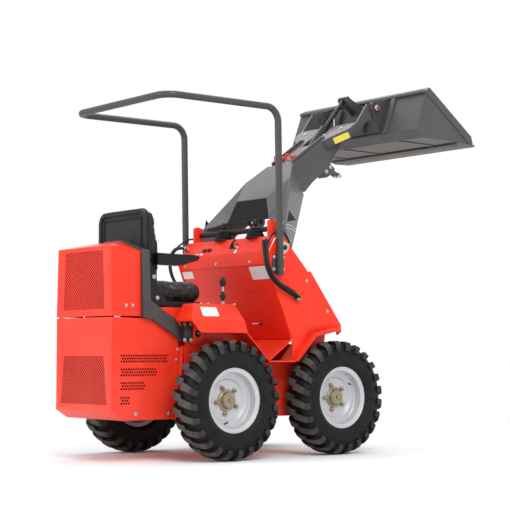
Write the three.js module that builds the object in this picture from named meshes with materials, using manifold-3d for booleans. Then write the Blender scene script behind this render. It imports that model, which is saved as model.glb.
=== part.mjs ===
// A ride-on mini skid steer loader: rigid chassis on four driven wheels, rear engine under a tilting
// hood that carries the seat, a control tower, a hoop roll bar and one central lift boom with a bucket.
// Millimetres, +X to the machine's right, +Y forwards, +Z up, z = 0 on the ground.
// Outlines are drawn for axles DRAWN_AXLE from the middle; a longer wheelbase moves the rear pieces
// back and the front ones forwards, and bigger tyres lift the whole body.
import * as THREE from "three";
import { mergeVertices } from "three/addons/utils/BufferGeometryUtils.js";
import { ConvexGeometry } from "three/addons/geometries/ConvexGeometry.js";
import Module from "manifold-3d";

// ---- driving dimensions ----
const WHEELBASE = 772;
const DRAWN_AXLE = 386;
const TYRE_DIAMETER = 630;
const TYRE_WIDTH = 165;
const BEAD_RADIUS = 152;
const FLANGE_RADIUS = 171;
const RIM_HALF = 63;
const WHEEL_SIDES = 28;
const SPINDLE_RADIUS = 30;
const ARCH_GAP = 38; // tyre crown to wheel arch
const ARCH_CROWN = 668; // height of the wheel arch as drawn
const BODY_HALF = 262; // engine box and hood
const PLATE = 8; // structural plate
const SKIN = 6; // hood, box and console sheet
const SLIP = 0.3; // gap between two pieces that are fastened face to face
const PIN_SLIP = 0.5; // radial gap at a pin
const MOVING_GAP = 5.5; // gap between a moving piece and what it passes
const ARM_THICK = 20;
const WHEEL_CLEAR = 48; // hull plate to tyre
const TOWER_OUT = 98; // tower plate outside the hull plate
const FENDER_OUT = 138; // fender lip outside the hull plate
const ROLL_RADIUS = 19;
const ROLL_BEND = 80;
const BOOM_PIN = 22;
const TILT_PIN = 15;
const HINGE_PIN = 12;
const LIFT_BARREL = 35;
const LIFT_ROD = 20;
const TILT_BARREL = 28;
const TILT_ROD = 14;
const BEAM_HALF = 104;
const HEAD_HALF = 245;
const EAR_THICK = 10;
const BUCKET_HALF = 550;

// ---- what follows from them ----
const TYRE_RADIUS = TYRE_DIAMETER / 2;
const BODY_RAISE = TYRE_DIAMETER + ARCH_GAP - ARCH_CROWN;
const AXLE_HEIGHT = TYRE_RADIUS - BODY_RAISE;
const STRETCH = WHEELBASE / 2 - DRAWN_AXLE;
const ARM_IN = BODY_HALF + MOVING_GAP;
const ARM_OUT = ARM_IN + ARM_THICK;
const HULL_IN = ARM_OUT + MOVING_GAP + 1;
const HULL_HALF = HULL_IN + PLATE;
const WHEEL_X = HULL_HALF + WHEEL_CLEAR + TYRE_WIDTH / 2;
const TOWER_HALF = HULL_HALF + TOWER_OUT;
const TOWER_IN = TOWER_HALF - PLATE;
const FENDER_HALF = HULL_HALF + FENDER_OUT;
const ROLL_HALF = TOWER_HALF + ROLL_RADIUS + 6;
const BOOM_HALF = TOWER_IN - 20;

// Places that two or more pieces share, as [y, z].
const HOOD_PIN = [-493, 664];
const BOOM_PIVOT = [40, 1140];
const LIFT_BASE = [300, 450];
const LIFT_EYE = [178, 1317];
const TILT_BASE = [505, 1665];
const TILT_EYE = [881, 2111];
const COUPLER_PIVOT = [892, 2027];

// ---- solids from three.js geometry, joined and cut ----
const wasm = await Module();
wasm.setup();

function solid(geometry) {
  const bare = geometry.index ? geometry.toNonIndexed() : geometry.clone();
  bare.deleteAttribute("normal");
  bare.deleteAttribute("uv");
  const merged = mergeVertices(bare, 1e-4);
  const made = new wasm.Manifold(
    new wasm.Mesh({
      numProp: 3,
      vertProperties: merged.attributes.position.array,
      triVerts: new Uint32Array(merged.index.array),
    }),
  );
  if (made.volume() > 0) return made;
  const turned = merged.index.array.slice();
  for (let i = 0; i < turned.length; i += 3) [turned[i + 1], turned[i + 2]] = [turned[i + 2], turned[i + 1]];
  return new wasm.Manifold(
    new wasm.Mesh({
      numProp: 3,
      vertProperties: merged.attributes.position.array,
      triVerts: new Uint32Array(turned),
    }),
  );
}

function geometryOf(piece) {
  const mesh = piece.getMesh();
  const flat = new Float32Array(mesh.numVert * 3);
  for (let i = 0; i < mesh.numVert; i++) {
    const at = i * mesh.numProp;
    flat.set(mesh.vertProperties.subarray(at, at + 3), i * 3);
  }
  const geometry = new THREE.BufferGeometry();
  geometry.setAttribute("position", new THREE.BufferAttribute(flat, 3));
  geometry.setIndex(new THREE.BufferAttribute(new Uint32Array(mesh.triVerts), 1));
  const shaded = geometry.toNonIndexed();
  shaded.computeVertexNormals();
  return shaded;
}

const join = (...pieces) => pieces.flat().reduce((whole, piece) => whole.add(piece));
const cut = (whole, ...tools) => tools.flat().reduce((left, tool) => left.subtract(tool), whole);
const vector = (a) => new THREE.Vector3(...a);

// A box between two corners.
function box(low, high) {
  const geometry = new THREE.BoxGeometry(high[0] - low[0], high[1] - low[1], high[2] - low[2]);
  geometry.translate((low[0] + high[0]) / 2, (low[1] + high[1]) / 2, (low[2] + high[2]) / 2);
  return solid(geometry);
}

function extrude(outline, depth, basis, shift) {
  const shape = new THREE.Shape(outline.map(([a, b]) => new THREE.Vector2(a, b)));
  const geometry = new THREE.ExtrudeGeometry(shape, { depth, bevelEnabled: false });
  geometry.applyMatrix4(basis);
  geometry.translate(...shift);
  return solid(geometry);
}

const X = new THREE.Vector3(1, 0, 0);
const Y = new THREE.Vector3(0, 1, 0);
const Z = new THREE.Vector3(0, 0, 1);

// A [y, z] outline between two x planes, in either order.
function slab(outline, x0, x1) {
  const basis = new THREE.Matrix4().makeBasis(Y, Z, X);
  return extrude(outline, Math.abs(x1 - x0), basis, [Math.min(x0, x1), 0, 0]);
}

// An [x, z] outline from y0 forwards to y1.
function section(outline, y0, y1) {
  const basis = new THREE.Matrix4().makeBasis(X, Z, Y.clone().negate());
  return extrude(outline, y1 - y0, basis, [0, y1, 0]);
}

// A round bar between two points.
function bar(from, to, radius, sides = 24) {
  const start = vector(from);
  const run = vector(to).sub(start);
  const geometry = new THREE.CylinderGeometry(radius, radius, run.length(), sides);
  geometry.translate(0, run.length() / 2, 0);
  geometry.applyQuaternion(new THREE.Quaternion().setFromUnitVectors(Y, run.clone().normalize()));
  geometry.translate(...from);
  return solid(geometry);
}

// A round bar across the machine at [y, z].
const crossBar = ([y, z], x0, x1, radius, sides = 24) => bar([x0, y, z], [x1, y, z], radius, sides);

// A profile of [radius, height] turned about a vertical line.
function turned(profile, place, segments = 20) {
  const geometry = new THREE.LatheGeometry(profile.map(([r, h]) => new THREE.Vector2(r, h)), segments);
  geometry.rotateX(Math.PI / 2);
  geometry.translate(...place);
  return solid(geometry);
}

// A closed [distance outwards, radius] profile turned about a wheel's axis.
function wheelTurned(profile, side, segments) {
  const ring = [...profile, profile[0]].map(([out, r]) => new THREE.Vector2(r, out * side));
  const geometry = new THREE.LatheGeometry(ring, segments);
  geometry.rotateZ(-Math.PI / 2);
  return solid(geometry);
}

const hullOf = (points) => solid(new ConvexGeometry(points.map(vector)));

// A folded sheet: triangles over shared corners, thickened along one vector.
function sheet(corners, faces, thickness) {
  const lower = corners.map((corner) => corner.map((value, i) => value + thickness[i]));
  const points = [...corners, ...lower];
  const count = corners.length;
  const triangles = [];
  const edges = new Set(faces.flatMap(([a, b, c]) => [`${a},${b}`, `${b},${c}`, `${c},${a}`]));
  for (const [a, b, c] of faces) triangles.push([a, b, c], [a + count, c + count, b + count]);
  for (const edge of edges) {
    const [a, b] = edge.split(",").map(Number);
    if (!edges.has(`${b},${a}`)) triangles.push([b, a, a + count], [b, a + count, b + count]);
  }
  const geometry = new THREE.BufferGeometry();
  const flat = triangles.flat().flatMap((i) => points[i]);
  geometry.setAttribute("position", new THREE.BufferAttribute(new Float32Array(flat), 3));
  return solid(geometry);
}

// The outline of a bent strip: an open line of points and its copy, one thickness to the right of it.
function strip(points, thickness) {
  const at = points.map(([a, b]) => new THREE.Vector2(a, b));
  const normals = at.slice(1).map((p, i) => {
    const run = p.clone().sub(at[i]).normalize();
    return new THREE.Vector2(run.y, -run.x);
  });
  const inner = at.map((p, i) => {
    const before = normals[Math.max(i - 1, 0)];
    const after = normals[Math.min(i, normals.length - 1)];
    const middle = before.clone().add(after).normalize();
    return p.clone().addScaledVector(middle, thickness / middle.dot(before));
  });
  return [...points, ...inner.reverse().map((p) => [p.x, p.y])];
}

// Points on an arc about a centre, angles in degrees.
function arc([a, b], radius, from, to, steps) {
  return Array.from({ length: steps + 1 }, (_, i) => {
    const angle = THREE.MathUtils.degToRad(from + ((to - from) * i) / steps);
    return [a + radius * Math.cos(angle), b + radius * Math.sin(angle)];
  });
}

// A path through given points, one cross-section at each.
class Route extends THREE.Curve {
  constructor(points) {
    super();
    this.points = points.map(vector);
  }
  getPointAt(u, target = new THREE.Vector3()) {
    return target.copy(this.points[Math.round(u * (this.points.length - 1))]);
  }
  getTangentAt(u, target = new THREE.Vector3()) {
    const last = this.points.length - 1;
    const i = Math.round(u * last);
    const before = this.points[Math.max(i - 1, 0)];
    const here = this.points[i];
    const after = this.points[Math.min(i + 1, last)];
    const arriving = here.clone().sub(before).normalize();
    const leaving = after.clone().sub(here).normalize();
    return target.copy(arriving).add(leaving).normalize();
  }
}

function tube(points, radius, sides) {
  const route = new Route(points);
  const ring = new THREE.Shape(
    Array.from({ length: sides }, (_, i) => {
      const angle = (2 * Math.PI * i) / sides;
      return new THREE.Vector2(radius * Math.cos(angle), radius * Math.sin(angle));
    }),
  );
  return solid(new THREE.ExtrudeGeometry(ring, { steps: points.length - 1, extrudePath: route }));
}

// Straight runs through corner points, each corner rounded.
function rounded(corners, radius, steps) {
  const at = corners.map(vector);
  const points = [corners[0]];
  for (let i = 1; i < at.length - 1; i++) {
    const back = at[i - 1].clone().sub(at[i]).normalize();
    const on = at[i + 1].clone().sub(at[i]).normalize();
    const half = back.angleTo(on) / 2;
    const reach = radius / Math.tan(half);
    const centre = at[i].clone().addScaledVector(back.clone().add(on).normalize(), radius / Math.sin(half));
    const start = at[i].clone().addScaledVector(back, reach).sub(centre);
    const end = at[i].clone().addScaledVector(on, reach).sub(centre);
    const sweep = start.angleTo(end);
    for (let k = 0; k <= steps; k++) {
      const t = k / steps;
      const mix = start.clone().multiplyScalar(Math.sin((1 - t) * sweep));
      mix.addScaledVector(end, Math.sin(t * sweep)).divideScalar(Math.sin(sweep));
      points.push(mix.add(centre).toArray());
    }
  }
  return [...points, corners.at(-1)];
}

// A smooth route through points.
function smooth(points, steps) {
  const curve = new THREE.CatmullRomCurve3(points.map(vector), false, "centripetal");
  return curve.getSpacedPoints(steps).map((p) => p.toArray());
}

// ---- materials ----
const paint = (color, roughness, metalness) => new THREE.MeshStandardMaterial({ color, roughness, metalness });
const RED = () => paint(0xe8301f, 0.35, 0.1);
const DARK_GREY = () => paint(0x535052, 0.45, 0.1);
const BOOM_GREY = () => paint(0x67666b, 0.45, 0.1);
const RUBBER = () => paint(0x2a2b2d, 0.85, 0);
const SILVER = () => paint(0xc6c8cc, 0.35, 0.4);
const STEEL = () => paint(0xa9a9ab, 0.3, 1);
const BLACK = () => paint(0x1c1c1e, 0.6, 0);
const VINYL = () => paint(0x242326, 0.4, 0);

const machine = new THREE.Group();
const body = new THREE.Group();
const rear = new THREE.Group();
const front = new THREE.Group();
machine.add(body);
body.add(rear, front);
body.position.z = BODY_RAISE;
rear.position.y = -STRETCH;
front.position.y = STRETCH;

function add(group, name, piece, material) {
  const mesh = new THREE.Mesh(geometryOf(piece), material);
  mesh.name = name;
  group.add(mesh);
  return mesh;
}

const SIDES = [
  ["left", -1],
  ["right", 1],
];
const aft = (points) => points.map(([y, z]) => [y - STRETCH, z]);
const fore = (points) => points.map(([y, z]) => [y + STRETCH, z]);
const between = (outline, half) => slab(outline, -half, half);

// ---- chassis: welded hull of plate with belly, nose, seat wall and bulkhead ----
const FLOOR_TOP = 520;
const HULL_TOP = 690;
const BELLY = 215;

function chassis() {
  const lug = arc(HOOD_PIN, 26, 90, 180, 8);
  const sideOutline = [
    ...aft([[-565, BELLY]]),
    ...fore([[340, BELLY], [420, 290], [420, 560], [440, 700], [430, 710], [238, 671], [96, FLOOR_TOP - PLATE - SLIP]]),
    ...aft([[-110, FLOOR_TOP - PLATE - SLIP], [-262, 655], [-300, HULL_TOP], ...lug, [-521, 610], [-565, 600]]),
  ];
  const nose = strip(fore([[345, 615], [420, 500], [420, 290], [340, BELLY]]), PLATE);
  const belly = [...aft([[-592, BELLY], [-592, BELLY + PLATE]]), ...fore([[345, BELLY + PLATE], [340, BELLY]])];
  const bulkhead = aft([[-599.4, BELLY], [-591.4, BELLY], [-566.4, 600], [-574.4, 600]]);
  const seatWall = aft([[-300, 505], [-292, 505], [-292, 660], [-300, 660]]);
  const liftClevis = [
    ...fore([[355, BELLY], [355, 300]]),
    ...arc([LIFT_BASE[0] + STRETCH, LIFT_BASE[1]], 34, 0, 180, 10),
    ...fore([[245, 300], [245, BELLY]]),
  ];
  let hull = join(
    SIDES.map(([, side]) => slab(sideOutline, side * HULL_IN, side * HULL_HALF)),
    [nose, belly, bulkhead, seatWall].map((outline) => between(outline, HULL_IN + 1)),
    [-1, 1].map((side) => slab(liftClevis, side * (LIFT_BARREL + 3), side * (LIFT_BARREL + 13))),
    crossBar(fore([LIFT_BASE])[0], -(LIFT_BARREL + 20), LIFT_BARREL + 20, LIFT_ROD),
  );
  for (const [, side] of SIDES) {
    const pin = aft([HOOD_PIN])[0];
    hull = hull.add(crossBar(pin, side * (ARM_IN + 1), side * HULL_HALF, HINGE_PIN));
  }
  for (const y of [-WHEELBASE / 2, WHEELBASE / 2]) {
    hull = hull.subtract(crossBar([y, AXLE_HEIGHT], -HULL_HALF - 1, HULL_HALF + 1, SPINDLE_RADIUS + SLIP));
  }
  return hull;
}
add(body, "chassis_frame", chassis(), RED());

// ---- floor of the footwell and its side steps ----
function floor() {
  const well = [...aft([[-291.7, FLOOR_TOP - PLATE], [-291.7, FLOOR_TOP]]),
    ...fore([[104, FLOOR_TOP], [104, FLOOR_TOP - PLATE]])];
  const step = [...aft([[-98, FLOOR_TOP - PLATE], [-98, FLOOR_TOP]]),
    ...fore([[86, FLOOR_TOP], [86, FLOOR_TOP - PLATE]])];
  return join(between(well, HULL_IN - SLIP), between(step, FENDER_HALF));
}
add(body, "floor_plate", floor(), RED());

// ---- lower engine box, open at the top and towards the hull ----
const BOX_REAR = -1000;
// A grille opening between two heights, narrower at the top.
const grille = (low, lowHalf, high, highHalf) => [[-lowHalf, low], [lowHalf, low], [highHalf, high], [-highHalf, high]];
const LOWER_GRILLE = grille(298, BODY_HALF - 44, 546, BODY_HALF - 75);
const UPPER_GRILLE = grille(787, BODY_HALF - 68, 1090, BODY_HALF - 84);

const shrink = (outline, by) => {
  const middle = outline.reduce(([a, b], [c, d]) => [a + c / outline.length, b + d / outline.length], [0, 0]);
  return outline.map(([a, b]) => [a + by * Math.sign(middle[0] - a), b + by * Math.sign(middle[1] - b)]);
};

function engineBox() {
  const outer = [[BOX_REAR, 262], [-930, 218], [-600, 218], [-575, 636], [-761, 741], [BOX_REAR, 746]];
  const inner = [
    [BOX_REAR + SKIN, 265],
    [-928, 218 + SKIN],
    [-500, 218 + SKIN],
    [-500, 900],
    [BOX_REAR + SKIN, 900],
  ];
  const shell = between(outer, BODY_HALF).subtract(between(inner, BODY_HALF - SKIN));
  return shell.subtract(section(LOWER_GRILLE, BOX_REAR - 5, BOX_REAR + 10));
}
add(rear, "engine_box", engineBox(), RED());
add(rear, "rear_grille_lower", section(shrink(LOWER_GRILLE, SLIP), BOX_REAR + 1, BOX_REAR + 5), RED());
add(
  rear,
  "engine_block",
  box([-BODY_HALF + 92, -915, 218 + SKIN + SLIP], [BODY_HALF - 92, -625, 640]),
  paint(0x303236, 0.6, 0.4),
);

// ---- hood with its frame and arms, which tilt forwards with the seat ----
const HOOD_BASE = 752;
const HOOD_FRONT = -821;
const FRAME_REAR = HOOD_FRONT + SLIP;
const FRAME_FRONT = -772;

function hood() {
  const shell = (by, base) => hullOf([-1, 1].flatMap((side) => [
    [side * (BODY_HALF - by), BOX_REAR + by, base],
    [side * (BODY_HALF - by), HOOD_FRONT - by, base],
    [side * (BODY_HALF - 12 - by), BOX_REAR + by, 1112 - by],
    [side * (BODY_HALF - 8 - by), HOOD_FRONT - by, 1089 - by],
    [side * 70, HOOD_FRONT - by, 1152 - by],
  ]));
  const made = shell(0, HOOD_BASE).subtract(shell(SKIN, HOOD_BASE - 10));
  return made.subtract(section(UPPER_GRILLE, BOX_REAR - 5, BOX_REAR + 10));
}
add(rear, "hood", hood(), RED());
add(rear, "rear_grille_upper", section(shrink(UPPER_GRILLE, SLIP), BOX_REAR + 1, BOX_REAR + 5), RED());

function hoodFrame() {
  const arch = section(
    [
      [-ARM_OUT, 745], [-ARM_IN - 2, 1091], [-72, 1157], [72, 1157], [ARM_IN + 2, 1091], [ARM_OUT, 745],
      [BODY_HALF - 12, 745], [BODY_HALF - 18, 1070], [60, 1130], [-60, 1130], [-BODY_HALF + 18, 1070],
      [-BODY_HALF + 12, 745],
    ],
    FRAME_REAR,
    FRAME_FRONT,
  );
  const arm = [[-820.7, 745], [-762, 738], [-588, 638], [-588, 625], [-519 - MOVING_GAP, 625],
    [-519 - MOVING_GAP, 724], [-588, 724], [-772, 832], [-820.7, 832]];
  const tongue = [[-530, 640], ...arc(HOOD_PIN, 24, -90, 90, 10), [-530, 688]];
  let made = arch;
  for (const [, side] of SIDES) {
    const x0 = side * ARM_IN;
    const plate = join(slab(arm, x0, side * ARM_OUT), slab(tongue, x0, side * (ARM_OUT - 4)));
    made = made.add(cut(plate, crossBar(HOOD_PIN, side * (ARM_IN - 5), side * (ARM_OUT + 5), HINGE_PIN + PIN_SLIP)));
  }
  return made;
}
add(rear, "hood_frame", hoodFrame(), DARK_GREY());

// ---- seat on its platform between the arms ----
const PLATFORM_TOP = 800;
const SEAT_HALF = ARM_IN - 35.5;

function seatPlatform() {
  const edge = ARM_IN - SLIP;
  const flange = [[-755, 752], [-573, 650], [-530, 650], [-415, 738], [-400, PLATFORM_TOP], [-771, PLATFORM_TOP],
    [-771, 765]];
  const top = [[-771, PLATFORM_TOP - SKIN], [-400, PLATFORM_TOP - SKIN], [-400, PLATFORM_TOP], [-771, PLATFORM_TOP]];
  const lip = [[-421, 738], [-415, 738], [-400, PLATFORM_TOP], [-406, PLATFORM_TOP]];
  return join(
    [top, lip].map((outline) => between(outline, edge)),
    SIDES.map(([, side]) => slab(flange, side * edge, side * (edge - SKIN))),
  );
}
add(rear, "seat_platform", seatPlatform(), RED());

const TRAY_TOP = 834;
const ARMREST_PIVOT = [-722, 1050];

function seatTray() {
  const pan = [[-765, PLATFORM_TOP + SLIP], [-410, PLATFORM_TOP + SLIP], [-380, TRAY_TOP], [-765, TRAY_TOP]];
  const bracket = [[-765, 810], [-640, 810], [-640, 850], [-700, 880], [-705, 1040], ...arc(ARMREST_PIVOT, 22, 0, 180, 8),
    [-765, 1000]];
  return join(
    between(pan, SEAT_HALF - 10),
    SIDES.map(([, side]) => slab(bracket, side * (SEAT_HALF + 1), side * (SEAT_HALF + 7))),
    between([[-765, 810], [-640, 810], [-640, TRAY_TOP], [-765, TRAY_TOP]], SEAT_HALF + 4),
  );
}
add(rear, "seat_tray", seatTray(), BLACK());

function cushion(half) {
  const outline = [
    [-735, TRAY_TOP + SLIP], [-400, TRAY_TOP + SLIP], ...arc([-405, 888], 45, -60, 100, 8), [-560, 926], [-650, 938],
    [-735, 945],
  ];
  return join(between(outline, half - 18), between(shrink(outline, 14), half));
}
add(rear, "seat_cushion", cushion(SEAT_HALF - 2), VINYL());

function backShell() {
  const plate = [[-765, TRAY_TOP + SLIP], [-745, TRAY_TOP + SLIP], [-745, 1320], [-765, 1320]];
  return between(plate, SEAT_HALF - 12);
}
add(rear, "seat_back_shell", backShell(), BLACK());

function backrest() {
  const outline = [[-745 + SLIP, 962], [-672, 962], [-655, 1000], [-662, 1140], [-690, 1290], ...arc([-722, 1300], 30, 0, 90, 5),
    [-745 + SLIP, 1330]];
  return join(between(outline, SEAT_HALF - 32), between(shrink(outline, 12), SEAT_HALF - 12));
}
add(rear, "seat_backrest", backrest(), VINYL());

for (const [name, side] of SIDES) {
  const outline = [[-735, 1022], [-590, 1020], [-478, 1052], [-462, 1066], [-472, 1080], [-735, 1082]];
  const pivot = crossBar(ARMREST_PIVOT, side * (SEAT_HALF + 7 + SLIP), side * (SEAT_HALF + 14), 18);
  const pad = slab(outline, side * (SEAT_HALF + 13), side * (SEAT_HALF + 63));
  add(rear, `armrest_${name}`, join(pad, pivot), BLACK());
}

// ---- rear fenders ----
function rearFender(side) {
  const across = (lift) => [[HULL_HALF + SLIP + lift, 600], [FENDER_HALF - lift, 600], [FENDER_HALF - lift, 735 - lift / 2],
    [FENDER_HALF - 50 - lift / 2, 820 - lift], [HULL_HALF + SLIP + lift, 820 - lift]].map(([x, z]) => [side * x, z]);
  const ends = (lift) => [[-563 + lift, 668], [-628 + lift * 1.2, 735], [-579 + lift, 820], [-302 - lift, 820],
    [-274 - lift, 735], [-251 - lift, 668]];
  const outer = section(across(0), -640, -240).intersect(slab(ends(0), side * 250, side * 600));
  const room = section(across(SKIN), -640, -240).intersect(slab([[-540, 500], ...ends(SKIN), [-270, 500]], side * 250, side * 600));
  const slope = strip([[-262, 678.5], [-251, 668], [-100, 524], [-98.5, 522]].map(([y, z]) => [y, z]), SKIN);
  const ramp = slab(slope, side * (HULL_HALF + SLIP), side * FENDER_HALF);
  const inner = slab([[-563, 600], [-563, 668], [-579, 819], [-302, 819], [-251, 662], [-262, 600]],
    side * (HULL_HALF + SLIP), side * (HULL_HALF + SLIP + SKIN));
  return join(outer.subtract(room), ramp, inner);
}
for (const [name, side] of SIDES) add(rear, `rear_fender_${name}`, rearFender(side), RED());

// ---- front fenders and tower ----
const FENDER_LINE = [[88, 517], [238, 674], [428, 713]];

for (const [name, side] of SIDES) {
  const lip = [[94, 517], [238, 673], [427, 712], [427, 688], [246, 652], [116, 517]];
  const piece = join(
    slab(strip(FENDER_LINE, SKIN), side * (HULL_HALF + SLIP), side * FENDER_HALF),
    slab(lip, side * (FENDER_HALF - SKIN), side * FENDER_HALF),
  );
  add(front, `front_fender_${name}`, piece, RED());
}

for (const [name, side] of SIDES) {
  const outline = [[-18, 1188], [-90, 1076], [-31, 934], [99.5, 638], [99.5, 530.2], [237.5, 674.6], [428.4, 713.8], [436, 668],
    [446, 662], [472, 682], [467, 723], [236, 1018], [220, 1011], [30, 1209]];
  const pin = crossBar(BOOM_PIVOT, side * (BOOM_HALF - 16), side * TOWER_HALF, BOOM_PIN);
  add(front, `tower_side_${name}`, join(slab(outline, side * TOWER_IN, side * TOWER_HALF), pin), RED());
}

function towerConsole() {
  const face = strip([[95, 636.5], [-5, 899], [-70, 1045], [-70, 1118], [-22, 1204], [-10, 1204]], SKIN);
  const tab = [[-23, 1200], [45, 1200], [40, 1290], [20, 1297], [-5, 1297], [-23, 1290]];
  return join(
    between(face, TOWER_IN - SLIP),
    between([[-22, 1198], [46, 1198], [46, 1204], [-22, 1204]], BOOM_HALF - 22),
    SIDES.map(([, side]) => slab(tab, side * (BOOM_HALF - 42), side * (BOOM_HALF - 34))),
  );
}
add(front, "control_console", towerConsole(), RED());
add(front, "footrest_panel", between(strip([[-63, 525.4], [94.3, 636.1]], SKIN), TOWER_HALF), RED());
add(front, "grab_bar", crossBar([28, 1250], -(BOOM_HALF - 42 - SLIP), BOOM_HALF - 42 - SLIP, 15), BLACK());

function joystick(x) {
  const profile = [[0, 0], [27, 0], [27, 6], [22, 9], [24, 14], [19, 18], [21, 23], [15, 28], [12, 34], [5, 36], [5, 68],
    [12, 74], [14, 88], [9, 100], [0, 103]];
  return turned(profile, [x, -2, 1204 + SLIP], 12);
}
add(front, "joystick_left", joystick(-78), BLACK());
add(front, "joystick_right", joystick(205), BLACK());

const LEVER_X = FENDER_HALF - 80;
const leverProfile = [[0, 0], [16, 0], [16, 6], [7, 10], [6, 40], [14, 44], [14, 52], [6, 56], [6, 100], [15, 108], [17, 126],
  [11, 142], [0, 146]];
add(rear, "throttle_lever", turned(leverProfile, [LEVER_X, -358, 820 + SLIP], 12), BLACK());

// ---- roll bar ----
function rollBar() {
  const foot = [-8, 985];
  const top = [-26, 1906];
  const back = [-783, 1896];
  const corners = [-1, 1].map((side) => [
    [side * ROLL_HALF, ...foot],
    [side * ROLL_HALF, ...top],
    [side * ROLL_HALF, ...back],
  ]);
  const hoop = tube(rounded([...corners[0], ...corners[1].reverse()], ROLL_BEND, 4), ROLL_RADIUS, 12);
  const plate = [[-52, 1000], [34, 1000], [34, 1100], [-44, 1100]];
  return join(hoop, SIDES.map(([, side]) => slab(plate, side * (TOWER_HALF + SLIP), side * (TOWER_HALF + PLATE))));
}
add(front, "roll_bar", rollBar(), DARK_GREY());

// ---- hoses from the console down to the tower sides ----
for (const [name, side] of SIDES) {
  const out = [-0.873, 0.487];
  const root = [TOWER_IN - 30, -45.4 + out[0] * 0.6, 1162 + out[1] * 0.6];
  const route = [
    [root[0], root[1] + out[0] * 24, root[2] + out[1] * 24],
    [TOWER_HALF, -105, 1184],
    [TOWER_HALF + 36, -122, 1120],
    [TOWER_HALF + 38, -118, 1040],
    [TOWER_HALF + 38, -80, 965],
    [TOWER_HALF + 36, 0, 915],
    [TOWER_HALF + 34, 80, 885],
    [TOWER_HALF + 24, 132, 862],
  ];
  const points = [root, ...smooth(route, 16), [TOWER_HALF + 0.5, 132, 862]];
  add(front, `hose_${name}`, tube(points.map(([x, y, z]) => [side * x, y, z]), 14, 8), BLACK());
}

// ---- axles and wheels ----
for (const [place, y] of [["rear", -WHEELBASE / 2], ["front", WHEELBASE / 2]]) {
  const axle = join(
    bar([-(WHEEL_X + 10), 0, 0], [WHEEL_X + 10, 0, 0], SPINDLE_RADIUS, WHEEL_SIDES),
    SIDES.flatMap(([, side]) => [
      bar([side * (HULL_HALF + SLIP), 0, 0], [side * (HULL_HALF + 14), 0, 0], 78, 20),
      bar([side * (HULL_HALF + 10), 0, 0], [side * (WHEEL_X - 22), 0, 0], 50, 20),
    ]),
  );
  const mesh = add(machine, `${place}_axle`, axle, STEEL());
  mesh.position.set(0, y, TYRE_RADIUS);
  for (const [name, side] of SIDES) {
    const half = TYRE_WIDTH / 2;
    const tread = half - 14;
    const tyre = wheelTurned(
      [
        [-RIM_HALF + 9, BEAD_RADIUS + SLIP], [-RIM_HALF + 6, FLANGE_RADIUS + SLIP], [-half + 3, FLANGE_RADIUS + 16],
        [-half, TYRE_RADIUS - 80], [-half + 2, TYRE_RADIUS - 28], [-tread, TYRE_RADIUS], [tread, TYRE_RADIUS],
        [half - 2, TYRE_RADIUS - 28], [half, TYRE_RADIUS - 80],
        [half - 3, FLANGE_RADIUS + 16], [RIM_HALF - 6, FLANGE_RADIUS + SLIP], [RIM_HALF - 9, BEAD_RADIUS + SLIP],
      ],
      side,
      WHEEL_SIDES,
    );
    const bore = SPINDLE_RADIUS + PIN_SLIP;
    const rim = wheelTurned(
      [
        [RIM_HALF, FLANGE_RADIUS], [RIM_HALF - 4, BEAD_RADIUS - 6], [10, BEAD_RADIUS - 7], [6, 104], [-8, 94], [-8, 44],
        [26, 40], [28, 0], [14, 0], [14, bore], [-18, bore], [-18, 96], [-2, BEAD_RADIUS - 6],
        [-RIM_HALF + 4, BEAD_RADIUS - 6], [-RIM_HALF, FLANGE_RADIUS], [-RIM_HALF + 5, FLANGE_RADIUS], [-RIM_HALF + 8, BEAD_RADIUS],
        [RIM_HALF - 8, BEAD_RADIUS], [RIM_HALF - 5, FLANGE_RADIUS],
      ],
      side,
      WHEEL_SIDES,
    );
    const at = [side * WHEEL_X, y, TYRE_RADIUS];
    add(machine, `tyre_${place}_${name}`, tyre, RUBBER()).position.set(...at);
    add(machine, `rim_${place}_${name}`, rim, SILVER()).position.set(...at);
  }
}

// ---- lift boom: folded base, box beam with a broad head, bracket for the auxiliary couplings ----
const NECK_HALF = BEAM_HALF + SLIP + PLATE;

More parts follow.
